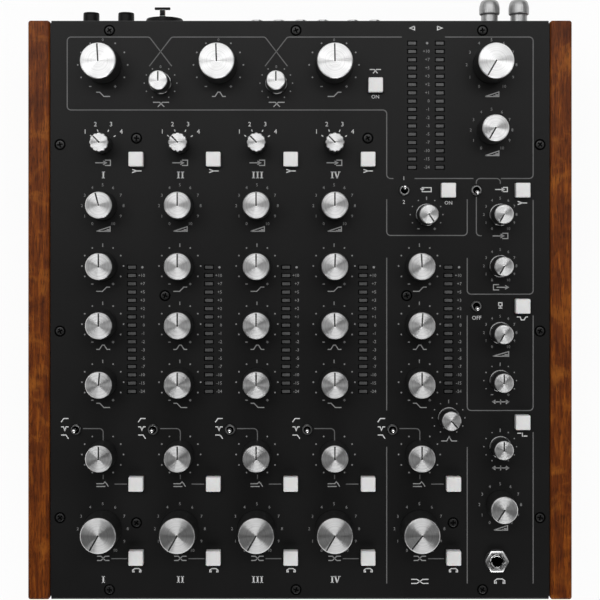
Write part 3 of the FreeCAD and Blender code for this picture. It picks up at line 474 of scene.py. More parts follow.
def spun_metal(name, light, rough, aniso, rings):
    """Turned aluminium with circular marks, so that its highlight opens into two fans."""
    material, tree, shader = new_material(name, Metallic=1.0, Anisotropic=aniso, Anisotropic_Rotation=0.25)
    marks = use_group(tree, TURNED, Rings_Per_Metre=rings)
    tangent = add_node(tree, "ShaderNodeTangent", direction_type="RADIAL", axis="Z")
    put(tree, shader.inputs["Tangent"], tangent.outputs["Tangent"])
    streaks = remap(tree, marks["Streaks"], 0.32, 0.68, 0.0, 1.0)
    put(tree, shader.inputs["Base Color"], mix_colour(tree, streaks, grey(light * 0.72), grey(light)))
    put(tree, shader.inputs["Roughness"], remap(tree, marks["Rings"], 0.3, 0.7, rough - 0.05, rough + 0.05))
    bump(tree, shader, marks["Rings"], 0.10, 0.00003)
    return material


def plated_metal(name, light, rough, cloud=120.0):
    return mottled_material(name, light * 0.88, light, rough, cloud, 2600.0, 0.00002, Metallic=1.0)


def ink(name, value):
    """Screen-printed ink, slightly uneven."""
    return mottled_material(name, value * 0.82, value, (0.55, 0.7), 900.0, 3000.0, 0.00001)


MATERIALS = {
    "panel": panel_paint(),
    "tray": mottled_material("tray_black", 0.006, 0.009, (0.46, 0.58), 30.0, 1500.0),
    "wood": cheek_wood(),
    "rubber": mottled_material("foot_rubber", 0.014, 0.022, (0.75, 0.9), 90.0, 1200.0, 0.0002),
    "screw": mottled_material(
        "screw_black_steel", 0.004, 0.008, (0.24, 0.36), 500.0, 2500.0, 0.00002),
    "screw_face": mottled_material(
        "screw_face_steel", 0.024, 0.042, (0.34, 0.46), 700.0, 2500.0, 0.00002, Metallic=0.8),
    # Near-black with almost no reflection: painted shade in the toggle throats, the screw crosses and rings,
    # the phones socket's gap ring and bore, and round the meter lenses; also the phones socket's black body.
    "black_and_shade": mottled_material(
        "black_and_painted_shade", 0.0012, 0.002, (0.7, 0.8), 300.0, Specular_IOR_Level=0.02),
    "board": mottled_material("board_green", (0.01, 0.07, 0.03, 1), (0.015, 0.1, 0.045, 1), (0.4, 0.55)),
    "part_black": mottled_material("inner_black", 0.012, 0.018, (0.4, 0.6)),
    "lens": mottled_material("meter_lens", 0.050, 0.072, (0.34, 0.46), 260.0, 1800.0, 0.00003),
    "cap": spun_metal("cap_spun_face", 0.99, 0.34, 0.97, 9000.0),
    "cap_edge": spun_metal("cap_cut_edge", 0.97, 0.36, 0.0, 6000.0),
    "knob": mottled_material("knob_satin_black", 0.009, 0.013, (0.32, 0.42), 80.0, 1600.0, 0.00004),
    "skirt": mottled_material(
        "knob_gloss_skirt", 0.006, 0.009, (0.08, 0.14), 120.0, 2200.0, 0.00001,
        Specular_IOR_Level=1.0, Coat_Weight=1.0, Coat_IOR=1.9, Coat_Roughness=0.06),
    "pointer": mottled_material("pointer_black", 0.010, 0.016, (0.5, 0.6), 300.0),
    "button": mottled_material(
        "button_pale", grey(0.73, 0.006), grey(0.78, 0.004), (0.36, 0.46), 160.0, 1500.0, 0.00003,
        Subsurface_Weight=0.08, Subsurface_Scale=0.001),
    "chrome": plated_metal("polished_chrome", 0.86, (0.07, 0.14)),
    "satin": plated_metal("satin_nickel", 0.58, (0.26, 0.36)),
    "nickel": plated_metal("brushed_nickel", 0.72, (0.22, 0.34)),
    "terminal": plated_metal("terminal_nickel", 0.42, (0.36, 0.48)),
    "gold": mottled_material(
        "contact_gold", (0.62, 0.42, 0.16, 1), (0.74, 0.52, 0.22, 1), (0.2, 0.3), 200.0, 2600.0, 0.00002,
        Metallic=1.0),
    "socket": mottled_material(
        "socket_black", 0.004, 0.007, (0.34, 0.46), 140.0, 1700.0, 0.00003,
        Specular_IOR_Level=0.12),
    "washer": mottled_material(
        "dark_washer", 0.03, 0.05, (0.3, 0.4), 200.0, 2400.0, 0.00002, Metallic=0.6),
    "line": ink("line_ink", 0.13),
    "scale": ink("scale_ink", 0.26),
    "label": ink("label_ink", 0.36),
    "sign": ink("sign_ink", 0.66),
}


# Mesh tools

def set_materials(mesh, keys):
    mesh.materials.clear()
    for key in keys:
        mesh.materials.append(MATERIALS[key])


def new_mesh(name, bm, materials):
    mesh = bpy.data.meshes.new(name)
    set_materials(mesh, materials)
    bm.to_mesh(mesh)
    bm.free()
    return mesh


def finished_mesh(name, bm, materials, sharp):
    """Mesh of a shape, smooth but for edges sharper than an angle."""
    bmesh.ops.recalc_face_normals(bm, faces=bm.faces)
    mesh = new_mesh(name, bm, materials)
    mesh.shade_smooth()
    mesh.set_sharp_from_angle(angle=math.radians(sharp))
    return mesh


def place_piece(name, bm, materials, body, sharp=32.0):
    return place_mesh(name, finished_mesh(name, bm, materials, sharp), body)


def weld(bm):
    bmesh.ops.remove_doubles(bm, verts=bm.verts, dist=WELD_GAP)


def place_mesh(name, mesh, body, matrix=None):
    piece = bpy.data.objects.new(name, mesh)
    bpy.context.scene.collection.objects.link(piece)
    if matrix is not None:
        piece.matrix_world = matrix
    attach(piece, body)
    return piece


def at(x, y, z):
    """Matrix that carries millimetres of a piece's own axes to metres of the frame."""
    return Matrix.Translation((x * MM, y * MM, z * MM)) @ Matrix.Scale(MM, 4)


def facing_rear(x, y, z):
    """As at, with the piece's own +Z pointing to the rear."""
    return at(x, y, z) @ Matrix.Rotation(math.radians(-90), 4, "X")


def ring_points(radius, z, angles, wave=None):
    points = []
    for angle in angles:
        r = radius - wave(angle, z) if wave else radius
        points.append(Vector((r * math.cos(angle), r * math.sin(angle), z)))
    return points


def even_angles(steps):
    return [2 * math.pi * i / steps for i in range(steps)]


def turn(bm, profile, to, material=0, steps=TURN_STEPS, wave=None, angles=None):
    """Turns an outline of (radius, z) about the piece's own Z axis, in even steps or at given angles."""
    angles = angles or even_angles(steps)
    rings = []
    for radius, z in profile:
        if rings and (radius, z) == profile[0]:
            rings.append(rings[0])
        elif radius < 1e-6:
            rings.append([bm.verts.new(to @ Vector((0, 0, z)))])
        else:
            rings.append([bm.verts.new(to @ p) for p in ring_points(radius, z, angles, wave)])
    for low, high in zip(rings, rings[1:]):
        for i in range(len(angles)):
            j = (i + 1) % len(angles)
            corners = [low[i % len(low)], low[j % len(low)], high[j % len(high)], high[i % len(high)]]
            corners = list(dict.fromkeys(corners))
            if len(corners) > 2:
                bm.faces.new(corners).material_index = material


def join_loops(bm, upper, lower, material):
    """Wall of four-sided faces between two loops with as many corners."""
    for i in range(len(upper)):
        j = (i + 1) % len(upper)
        bm.faces.new((upper[i], lower[i], lower[j], upper[j])).material_index = material


def tube(bm, inner_r, outer_r, low, high, to, material, steps):
    """Ring of square section."""
    profile = [(inner_r, low), (outer_r, low), (outer_r, high), (inner_r, high), (inner_r, low)]
    turn(bm, profile, to, material, steps)


def slab(bm, centre, size, edge, material=0, segments=2):
    """Block with rounded edges, in millimetres."""
    made = bmesh.ops.create_cube(bm, size=1.0)["verts"]
    for vert in made:
        vert.co = Vector(c + v * s for c, v, s in zip(centre, vert.co, size))
    edges = list({e for v in made for e in v.link_edges})
    faces = {f for v in made for f in v.link_faces}
    if edge > 0:
        result = bmesh.ops.bevel(
            bm, geom=edges, offset=edge, segments=segments, profile=0.5, affect="EDGES", clamp_overlap=True)
        faces = {f for f in faces if f.is_valid} | set(result["faces"])
    for face in faces:
        face.material_index = material
    for vert in {v for f in faces for v in f.verts}:
        vert.co *= MM


def flute(angle, _):
    """How far a fluted knob's side is drawn in at an angle, at any height."""
    return FLUTE_DEPTH * (0.5 + 0.5 * math.cos(FLUTES * angle)) ** 2


# Knobs, with the order of their materials

KNOB_MATERIALS = ("knob", "cap", "skirt", "pointer", "nickel", "cap_edge")
KNOB_BODY, CAP_FACE, SKIRT, POINTER, SHAFT, CAP_EDGE = range(len(KNOB_MATERIALS))


def cap_angles(radius):
    """Angles round a cap's rim, from one side of the pointer groove to its other side."""
    gap = math.asin(POINTER_W / 2 / radius)
    steps = TURN_STEPS * 2
    return [math.pi / 2 + gap + (2 * math.pi - 2 * gap) * i / steps for i in range(steps + 1)]


def cap_face(bm, radius, top, wave):
    """Flat top of the cap, with a straight pointer groove from its middle to its rim."""
    half = POINTER_W / 2
    outline = ring_points(radius, top, cap_angles(radius), wave)
    last = len(outline) - 1
    outline += [Vector((half, -half, top)), Vector((-half, -half, top))]
    scale = at(0, 0, 0)
    upper = [bm.verts.new(scale @ p) for p in outline]
    bm.faces.new(upper).material_index = CAP_FACE
    drop = Vector((0, 0, POINTER_DEPTH))
    corners = [outline[-1], outline[0], outline[last], outline[-2]]
    rim = [upper[-1], upper[0], upper[last], upper[-2]]
    floor = [bm.verts.new(scale @ (p - drop)) for p in corners]
    bm.faces.new(floor).material_index = POINTER
    join_loops(bm, rim, floor, POINTER)


def knob_skirt(bm, base_r, foot):
    """Glossy skirt with a rounded edge, round the foot of a small knob."""
    skirt_r = SKIRT_D / 2
    top = foot + SKIRT_HEIGHT
    edge = ring_points(SKIRT_EDGE_R, 0, [math.radians(10 * i) for i in range(10)])
    profile = [(base_r - 1.5, foot), (skirt_r - 0.3, foot), (skirt_r, foot + 0.3)]
    profile += [(skirt_r - SKIRT_EDGE_R + p.x, top - SKIRT_EDGE_R + p.y) for p in edge]
    profile += [(base_r - 0.2, top), (base_r - 1.5, top), (base_r - 1.5, foot)]
    turn(bm, profile, at(0, 0, 0), SKIRT)


def knob_mesh(kind):
    """Shaft, black body, spun cap and pointer of one kind of knob, standing on the panel's top."""
    cap_d, base_d, height, _, _ = KNOB_SIZES[kind]
    cap_r, base_r = cap_d / 2, base_d / 2
    wave = flute if kind == "fluted" else None
    seat = height - CAP_THICK
    here = at(0, 0, 0)
    foot = KNOB_GAP
    low, top = -SHAFT_DROP, foot + SHAFT_GRIP
    bm = bmesh.new()
    turn(bm, [(0, low), (SHAFT_R, low), (SHAFT_R, top), (0, top)], here, SHAFT, 32)
    if kind == "small":
        knob_skirt(bm, base_r, foot)
        foot += SKIRT_LAP
    turn(bm, [
        (SHAFT_R, foot + 1.5), (base_r - 1.4, foot + 1.5), (base_r - 1.3, foot), (base_r - 0.5, foot),
        (base_r, foot + 0.6), (cap_r + 0.32, seat - 1.0), (cap_r + 0.25, seat - 0.35), (cap_r - 0.05, seat),
        (SHAFT_R, seat), (SHAFT_R, foot + 1.5),
    ], here, KNOB_BODY, TURN_STEPS * 2, wave)
    face_r = cap_r - CAP_CHAMFER
    turn(bm, [
        (0, seat - 0.2), (cap_r - 0.25, seat - 0.2), (cap_r - 0.25, seat), (cap_r, seat + 0.2),
        (cap_r, height - CAP_CHAMFER), (cap_r - CAP_CHAMFER * 0.7, height - 0.12), (face_r, height),
    ], here, CAP_EDGE, wave=wave, angles=cap_angles(face_r))
    cap_face(bm, face_r, height, wave)
    weld(bm)
    return finished_mesh(f"{kind}_knob", bm, KNOB_MATERIALS, 28.0)


def make_knobs():
    meshes = {kind: knob_mesh(kind) for kind in KNOB_SIZES}
    for node, (kind, x, y, pointer) in KNOBS.items():
        spot = Matrix.Translation((x * MM, y * MM, PANEL_Z * MM))
        turned = spot @ Matrix.Rotation(math.radians(-pointer), 4, "Z")
        piece = place_mesh(f"{node}.dressed", meshes[kind], node, turned)
        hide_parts(node)


# Buttons, levers, meters

def make_buttons():
    """Pale square caps with rounded edges, each on a stem, all on the buttons' body."""
    low, top = (corner.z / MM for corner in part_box("push_buttons"))
    bm = bmesh.new()
    cap_low = PANEL_Z - BUTTON_SINK
    for x, y, _, _ in top_faces("push_buttons", top):
        slab(bm, (x, y, (top + cap_low) / 2), (BUTTON_W, BUTTON_W, top - cap_low), BUTTON_EDGE, segments=4)
        slab(bm, (x, y, (cap_low + low) / 2), (STEM_W, STEM_W, cap_low - low), STEM_EDGE)
    piece = place_piece("push_buttons.dressed", bm, ["button"], "push_buttons", 40.0)
    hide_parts("push_buttons")


def lever(bm, x, y, z, tilt):
    """Bat lever: a ball at its pivot, a thin neck and a round tip."""
    to = at(x, y, z) @ Matrix.Rotation(math.radians(tilt), 4, "X")
    ball = ring_points(LEVER_BALL_R, 0, [math.radians(-90 + 17 * i) for i in range(1, 9)])
    tip = ring_points(LEVER_TIP_R, 0, [math.radians(18 * i) for i in range(5)])
    profile = [(0, -LEVER_BALL_R)] + [(p.x, p.y) for p in ball]
    profile += [(LEVER_NECK_R, 1.75), (LEVER_NECK_R + 0.05, 3.2), (LEVER_TIP_R, LEVER_LENGTH - 2.4)]
    profile += [(p.x, LEVER_LENGTH - LEVER_TIP_R + p.y) for p in tip]
    profile += [(0.25, LEVER_LENGTH - 0.02), (0, LEVER_LENGTH)]
    turn(bm, profile, to, 0, 40)


def bush(bm, x, y):
    """Threaded bush round a lever, its throat painted near-black as shade."""
    to = at(x, y, PANEL_Z)
    rim = BUSH_RISE - BUSH_CHAMFER
    throat_r = BUSH_BORE_R - 0.1
    turn(bm, [
        (BUSH_R, -BUSH_SINK), (BUSH_R, 0.25), (BUSH_R - 0.16, 0.4), (BUSH_R, 0.55), (BUSH_R - 0.16, 0.7),
        (BUSH_R, 0.85), (BUSH_R - 0.12, 1.0), (BUSH_R, 1.15), (BUSH_R - BUSH_CHAMFER, BUSH_RISE),
        (BUSH_BORE_R + 0.25, BUSH_RISE), (BUSH_BORE_R, rim),
    ], to, 0, 48)
    # Painted shade: the throat down into the panel is near-black
    turn(bm, [
        (BUSH_BORE_R, rim), (throat_r, BUSH_SINK), (throat_r, -BUSH_SINK), (BUSH_R, -BUSH_SINK),
    ], to, 1, 48)


def lever_joints():
    return {j["child"]: j for j in frame["joints"] if j["name"].endswith("_rock")}


def lever_places(node, joint):
    x, y, z = (value / MM for value in joint["pos_m"])
    if node == "filter_mode_toggles":
        return [(x + strip - STRIP_X[0], y, z) for strip in STRIP_X]
    return [(x, y, z)]


def make_levers():
    """Chrome bat levers, and a turned bush round each, its throat painted near-black as shade."""
    bushes = bmesh.new()
    for node, joint in lever_joints().items():
        tilt = -LEVER_TILT - joint["range_deg"][0]
        bm = bmesh.new()
        for x, y, z in lever_places(node, joint):
            lever(bm, x, y, z, tilt)
            bush(bushes, x, y)
        piece = place_piece(f"{node}.dressed", bm, ["chrome"], node, 50.0)
        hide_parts(node)
    place_piece("toggle_bushes", bushes, ["satin", "black_and_shade"], "case", 40.0)


def meter_windows():
    return top_faces("circuit_boards", PANEL_Z - WINDOW_DROP)


def make_meter_lenses():
    """A small rounded lens in each window, on the end of its light pipe; the near-black rim left round it is
    painted shade.
    """
    bm = bmesh.new()
    z = PANEL_Z - WINDOW_DROP + LENS_LIFT
    for x, y, width, depth in meter_windows():
        size = (width - LENS_GAP_ACROSS, depth - LENS_GAP_ALONG, LENS_THICK)
        slab(bm, (x, y, z), size, LENS_EDGE, segments=1)
    place_piece("meter_lenses", bm, ["lens"], "case")


def screw_head(bm, x, y, angle):
    """Cross-slotted head: a flat near-black ring on the panel round it as painted countersink shadow, a pale
    rim, and a sunk cross painted near-black as shade.
    """
    to = at(x, y, PANEL_Z) @ Matrix.Rotation(math.radians(angle), 4, "Z")
    # Painted shadow: a thin near-black sheet ring round the head
    tube(bm, SCREW_R, SHADOW_RING_R, 0, SHADOW_RING_THICK, to, 1, 40)
    half = CROSS_W / 2
    reach = math.asin(half / CROSS_R)
    angles, cross = [], []
    for quarter in range(4):
        first = quarter * math.pi / 2 + reach
        arc = [first + (math.pi / 2 - 2 * reach) * i / 8 for i in range(9)]
        inner = Matrix.Rotation(quarter * math.pi / 2, 3, "Z") @ Vector((half, half, SCREW_RISE))
        edge = ring_points(CROSS_R, SCREW_RISE, arc)
        bm.faces.new([bm.verts.new(to @ p) for p in [inner] + edge]).material_index = 0
        angles += arc
        cross += [edge[0], inner, edge[-1]]
    turn(bm, [
        (0, 0.02), (SCREW_R, 0.02), (SCREW_R, 0.12), (SCREW_R - 0.25, 0.22), (CROSS_R, SCREW_RISE),
    ], to, 0, angles=angles)
    top = [bm.verts.new(to @ p) for p in cross]
    low = [bm.verts.new(to @ (p - Vector((0, 0, CROSS_DEPTH)))) for p in cross]
    # The cross's floor and walls are painted near-black as shade
    bm.faces.new(low).material_index = 1
    join_loops(bm, top, low, 1)


def make_screw_heads():
    bm = bmesh.new()
    for i, (x, y, _, _) in enumerate(top_faces("case_screws", PANEL_Z)):
        screw_head(bm, x, y, SCREW_TURN * i)
    weld(bm)
    place_piece("panel_screw_heads", bm, ["screw_face", "black_and_shade"], "case", 30.0)


# Sockets

def hexagon_r(across):
    """Corner radius of a hexagon from its width across flats."""
    return across / 2 / math.cos(math.pi / 6)


def make_phones_socket():
    """Washer, hexagon nut, threaded bush, bore and square body of the panel's phones socket."""
    to = at(RIGHT_X - PHONES_LEFT, knob_y("mix_knob_1") - PHONES_DROP, PANEL_Z)
    corner_r = hexagon_r(PHONES_NUT_W)
    bm = bmesh.new()
    turn(bm, [(4.6, 0), (7.3, 0), (7.4, 0.15), (7.4, 0.6), (7.2, 0.8), (4.6, 0.8), (4.6, 0)], to, 0, 64)
    turn(bm, [
        (5.0, 0.8), (corner_r - 0.25, 0.8), (corner_r, 1.0), (corner_r, 2.5), (corner_r - 0.95, 3.0),
        (5.6, 3.0), (5.0, 2.4), (5.0, 0.8),
    ], to, 1, 6)
    # Painted shadow: a near-black ring at the foot of the gap between bush and nut
    tube(bm, 4.2, 5.6, 1.0, 1.6, to, 2, 48)
    turn(bm, [
        (4.45, 0.4), (4.45, 2.7), (4.3, 2.8), (4.4, 2.95), (4.1, 3.2), (3.75, 3.24), (3.4, 3.1),
        (JACK_BORE_R, 2.7), (JACK_BORE_R, 0.4), (4.45, 0.4),
    ], to, 3, 64)
    # Bore: the black insulator inside, made near-black with painted shade
    turn(bm, [(0, -24.0), (3.2, -24.0), (3.2, 2.6), (3.6, 2.6), (3.6, -25.0), (0, -25.0)], to, 2, 48)
    # Square body under the panel: black plastic, in the same near-black material
    body = to @ Matrix.Rotation(math.radians(45), 4, "Z")
    tube(bm, 5.2, 9.9, -28.5, -3.5, body, 2, 4)
    return place_piece("phones_socket", bm, ["washer", "satin", "black_and_shade", "chrome"], "case")


def line_jack(bm, x, rear, z):
    """Round black jack socket with a hexagon nut."""
    to = facing_rear(x, rear, z)
    barrel_r, bore_r, corner_r = LINE_JACK_R, JACK_BORE_R, hexagon_r(LINE_NUT_W)
    turn(bm, [
        (0, -14.0), (barrel_r, -14.0), (barrel_r, 8.2), (barrel_r - 0.15, 8.6), (barrel_r, 9.0),
        (barrel_r - 0.3, 9.8), (bore_r + 0.35, 9.8), (bore_r, 9.4), (bore_r, -10.0), (0, -10.0),
    ], to, 0, 56)
    turn(bm, [
        (barrel_r, WALL_Y), (corner_r - 0.3, WALL_Y), (corner_r, WALL_Y + 0.3), (corner_r, 0.4),
        (corner_r - 0.7, 0.9), (barrel_r, 0.9), (barrel_r, WALL_Y),
    ], to, 1, 6)
    slab(bm, (x, rear + LINE_JACK_BLOCK_Y, z), LINE_JACK_BLOCK, 0.4)


def mic_socket(bm, x, rear, z):
    """Flange, barrel with a bright liner and three contacts, two screws and the T-shaped release tab."""
    to = facing_rear(x, rear, z)
    barrel_r, bore_r = MIC_BARREL_R, MIC_BORE_R
    slab(bm, (x, rear + WALL_Y + MIC_FLANGE[1] / 2, z), MIC_FLANGE, 0.8, 0, 3)
    turn(bm, [
        (0, -12.0), (barrel_r, -12.0), (barrel_r, 5.0), (barrel_r - 0.5, 5.8), (bore_r + 0.5, 5.8),
        (bore_r, 5.3), (bore_r, -6.2), (0, -6.2),
    ], to, 0, 72)
    tube(bm, bore_r - 0.3, bore_r, -6.0, 5.2, to, 1, 72)
    for spot in ring_points(MIC_PIN_RING_R, 0, [math.radians(angle) for angle in (90, 210, 330)]):
        pin = to @ Matrix.Translation(spot)
        tube(bm, 1.3, 1.9, -6.1, -5.6, pin, 1, 20)
    for side in (-1, 1):
        screw = facing_rear(x + side * MIC_SCREW_X, rear + WALL_Y + MIC_FLANGE[1], z - side * MIC_SCREW_Z)
        turn(bm, [(0, 0), (1.9, 0), (1.9, 0.5), (1.4, 0.9), (0.7, 0.9), (0.7, 0.4), (0, 0.4)], screw, 1, 20)
    latch_z = z + LATCH_RISE
    slab(bm, (x, rear + 2.85, latch_z), (4.0, 5.9, 1.8), 0.35)
    slab(bm, (x, rear + 7.7, latch_z), (3.6, 4.0, 1.4), 0.2, 2)
    slab(bm, (x, rear + 10.4, latch_z), (10.0, 1.6, 1.8), 0.4)


def phono_socket(bm, x, rear, z):
    """Black washer, plated shell and pale core of a phono socket."""
    to = facing_rear(x, rear, z)
    turn(bm, [
        (PHONO_R, WALL_Y), (6.0, WALL_Y), (6.0, -0.9), (5.7, -0.5), (PHONO_R, -0.5), (PHONO_R, WALL_Y),
    ], to, 0, 48)
    turn(bm, [
        (4.8, -10.0), (4.8, WALL_Y), (PHONO_R, -0.6), (PHONO_R, 8.0), (PHONO_R - 0.3, 8.5), (3.3, 8.5),
        (3.2, 8.2), (3.2, 1.0), (4.8, -10.0),
    ], to, 1, 48)
    turn(bm, [
        (0, -1.6), (3.2, -1.6), (3.2, 7.7), (3.0, 7.9), (1.75, 7.9), (1.7, 7.5), (1.7, -1.0), (0, -1.0),
    ], to, 2, 40)


def mains_inlet(bm, x, rear, z):
    """Flange with two screws, round a deep mouth with three flat pins."""
    width, thick, height = INLET_FLANGE
    mouth_w, mouth_h, wall = INLET_MOUTH_W, INLET_MOUTH_H, INLET_WALL
    face = rear + WALL_Y + thick
    flange_y = face - thick / 2
    box_y = flange_y - INLET_DEPTH / 2
    rim_w, rim_h = (width - mouth_w) / 2, (height - mouth_h) / 2
    for side in (-1, 1):
        slab(bm, (x + side * (mouth_w + rim_w) / 2, flange_y, z), (rim_w, thick, height), 0.5)
        slab(bm, (x, flange_y, z + side * (mouth_h + rim_h) / 2), (mouth_w, thick, rim_h), 0)
        slab(bm, (x + side * (mouth_w + wall) / 2, box_y, z), (wall, INLET_DEPTH, mouth_h + 2 * wall), 0)
        slab(bm, (x, box_y, z + side * (mouth_h + wall) / 2), (mouth_w, INLET_DEPTH, wall), 0)
        screw = facing_rear(x + side * INLET_SCREW_X, face, z)
        turn(bm, [(0, 0), (2.9, 0), (2.9, 0.3), (2.2, 0.9), (0.8, 0.9), (0.8, 0.3), (0, 0.3)], screw, 1, 24)
    slab(bm, (x, face - 17.5, z), (mouth_w, 3.0, mouth_h), 0)
    for across, up in INLET_PINS:
        slab(bm, (x + across, face - 10.5, z + up), (2.0, 11.0, 4.0), 0.3, 1)


def data_socket(bm, x, rear, z):
    """Plated shell round a pale tongue with four gold contacts."""
    shell_y = rear - DATA_DEPTH / 2
    tongue_y = rear - DATA_TONGUE_DROP
    for side in (-1, 1):
        slab(bm, (x + side * 5.1, shell_y, z), (1.7, DATA_DEPTH, 11.0), 0.3, 1)
        slab(bm, (x, shell_y, z + side * 4.7), (DATA_MOUTH_W, DATA_DEPTH, 1.6), 0.2, 1)
        for row in (-1, 1):
            slab(bm, (x + side * 1.3, tongue_y, z + row * 1.65), (1.0, 6.0, 0.2), 0, 3)
    slab(bm, (x, rear - 13.0, z), (DATA_MOUTH_W, 5.0, DATA_MOUTH_H), 0)
    slab(bm, (x, tongue_y, z), (5.6, 6.8, 3.2), 0.2, 2)


def knurl(angle, z):
    """How far the finger nut's grip is drawn in; plain above and below the grip."""
    return KNURL_DEPTH * (0.5 + 0.5 * math.cos(KNURLS * angle)) if GRIP_LOW < z < GRIP_HIGH else 0.0


def earth_post(bm, x, rear, z):
    """Neck, knurled finger nut and slotted end of one earth terminal."""
    to = facing_rear(x, rear, z)
    turn(bm, [
        (0, -8.0), (2.0, -8.0), (2.0, WALL_Y), (6.6, WALL_Y), (6.6, -0.8), (5.4, -0.4), (5.4, 7.8),
        (4.9, 8.0), (4.9, 8.7), (0, 8.7),
    ], to, 0, 56)
    turn(bm, [
        (0, 8.5), (5.8, 8.5), (6.4, 8.9), (6.55, 9.4), (6.6, 9.7), (6.6, 12.6), (6.4, 14.2), (6.2, 15.0),
        (5.8, 16.3), (5.2, 17.3), (4.4, EARTH_POST_REACH), (3.2, EARTH_POST_REACH), (3.0, 17.4), (3.0, 15.0),
        (0, 15.0),
    ], to, 0, 160, knurl)
    for side in (-1, 1):
        slab(bm, (x + side * 1.9, rear + 15.9, z), (1.5, 2.6, 4.6), 0.25)


def make_sockets():
    """Every socket of the rear wall as one piece for each kind, and the phones socket."""
    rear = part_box("sockets")[1].y / MM - EARTH_POST_REACH
    upper, lower = UPPER_SOCKET_Z, LOWER_SOCKET_Z
    kinds = (
        ("line_jacks", line_jack, LINE_JACK_X, upper, ("socket", "nickel")),
        ("mic_socket", mic_socket, (MIC_SOCKET_X,), upper, ("socket", "nickel", "button")),
        ("phono_sockets", phono_socket, PHONO_X, lower, ("socket", "nickel", "button")),
        ("mains_inlet", mains_inlet, (INLET_X,), INLET_Z, ("socket", "nickel")),
        ("data_socket", data_socket, (DATA_SOCKET_X,), lower, ("socket", "nickel", "button", "gold")),
        ("earth_posts", earth_post, EARTH_POST_X, upper, ("terminal",)),
    )
    pieces = [make_phones_socket()]
    for name, build, places, z, materials in kinds:
        bm = bmesh.new()
        for x in places:
            build(bm, x, rear, z)
        pieces.append(place_piece(name, bm, materials, "case"))
    for piece in pieces:
        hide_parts("sockets")


# Print on the panel

class Print:
    """Flat ink on the panel: lines, dots and digits, gathered in one mesh."""

    def __init__(self):
        self.bm = bmesh.new()
        self.texts = {}

    def vert(self, x, y):
        return self.bm.verts.new(Vector((x, y, PANEL_Z + INK_LIFT)) * MM)

    def line(self, points, width):
        """A ribbon of even width along points, with mitred corners."""
        points = [Vector(p) for p in points]
        left, right = [], []
        for i, point in enumerate(points):
            before = (point - points[i - 1]).normalized() if i else None
            after = (points[i + 1] - point).normalized() if i + 1 < len(points) else None
            heading = ((before or after) + (after or before)).normalized()
            normal = Vector((-heading.y, heading.x))
            reach = width / 2 / max(0.5, heading.dot(after or before))
            left.append(self.vert(*(point + normal * reach)))
            right.append(self.vert(*(point - normal * reach)))
        for i in range(len(points) - 1):
            self.bm.faces.new((left[i], right[i], right[i + 1], left[i + 1]))

    def dot(self, x, y, radius, steps=14):
        rim = ring_points(radius, 0, even_angles(steps))
        self.bm.faces.new([self.vert(x + p.x, y + p.y) for p in rim])

    def text(self, body, x, y, size, align="CENTER"):
        """Plain digits from the built-in typeface."""
        key = (body, size, align)
        if key not in self.texts:
            curve = bpy.data.curves.new("digits", "FONT")
            curve.body = body
            curve.size = size
            curve.align_x = align
            curve.align_y = "CENTER"
            curve.resolution_u = 2
            holder = bpy.data.objects.new("digits", curve)
            mesh = bpy.data.meshes.new_from_object(holder)
            self.texts[key] = (
                [v.co.to_2d() for v in mesh.vertices], [list(p.vertices) for p in mesh.polygons])
            bpy.data.objects.remove(holder)
            bpy.data.curves.remove(curve)
            bpy.data.meshes.remove(mesh)
        verts, faces = self.texts[key]
        made = [self.vert(x + v.x, y + v.y) for v in verts]
        for corners in faces:
            self.bm.faces.new([made[i] for i in corners])

    def place(self, name, material):
        for face in self.bm.faces:
            face.normal_update()
            if face.normal.z < 0:
                face.normal_flip()
        piece = place_mesh(name, new_mesh(name, self.bm, [material]), "case")
        solid = piece.modifiers.new("ink_thickness", "SOLIDIFY")
        solid.thickness = INK_THICK * MM
        solid.offset = 1.0
        return piece


def rounded(points, radius=CORNER_R, steps=6):
    """A path whose inner corners are rounded to a radius."""
    points = [Vector(p) for p in points]
    path = [points[0]]
    for before, corner, after in zip(points, points[1:], points[2:]):
        to_before = (before - corner).normalized()
        to_after = (after - corner).normalized()
        half = to_before.angle(to_after) / 2
        cut = radius / math.tan(half)
        centre = corner + (to_before + to_after).normalized() * (radius / math.sin(half))
        start = corner + to_before * cut - centre
        sweep = start.angle_signed(corner + to_after * cut - centre)
        for i in range(steps + 1):
            turned = start.copy()
            turned.rotate(Matrix.Rotation(-sweep * i / steps, 2))
            path.append(centre + turned)
    path.append(points[-1])
    return path


def case_y(y):
    """A place measured from the middle of the case, as the frame has it."""
    return y + CASE_MIDDLE_Y


def frame_paths():
    """The frames that group the controls: places across, and up from the middle of the case."""
    left, strip, middle, aux, right = -145.5, 54.2, 104.5, 110.2, 145.7
    top, isolator, main, effect, session, mic, front = 170.6, 125.0, 82.2, 46.6, 9.9, -62.8, -170.9
    first, second = (KNOBS[f"crossover_{band}_knob"][1] for band in ("low", "high"))
    crossing, reach = 152.4, 7.0
    return [
        [(first + reach, crossing), (first - reach, top), (left, top), (left, isolator), (strip, isolator),
         (strip, main), (58.4, main)],
        [(first - reach, crossing), (first + reach, top), (second - reach, top), (second + reach, crossing)],
        [(second - reach, crossing), (second + reach, top), (63.6, top)],
        [(90.6, top), (right, top), (right, main), (125.6, main)],
        [(71.6, main), (108.4, main)],
        [(aux, 78.8), (aux, main), (125.2, main), (125.2, 78.8)],
        [(strip, 69.2), (strip, effect), (middle, effect), (middle, 69.2)],
        [(aux, 70.8), (aux, 46.4), (113.6, 46.4)],
        [(middle, 32.6), (middle, session), (right, session), (right, 68.8)],
        [(middle, -3.4), (middle, mic), (right, mic), (right, -3.4)],
        [(middle, -85.6), (middle, front)],
        [(right, -76.3), (right, front)],
        [(strip, 32.7), (strip, mic)],
        [(strip, -85.5), (strip, front)],
    ]


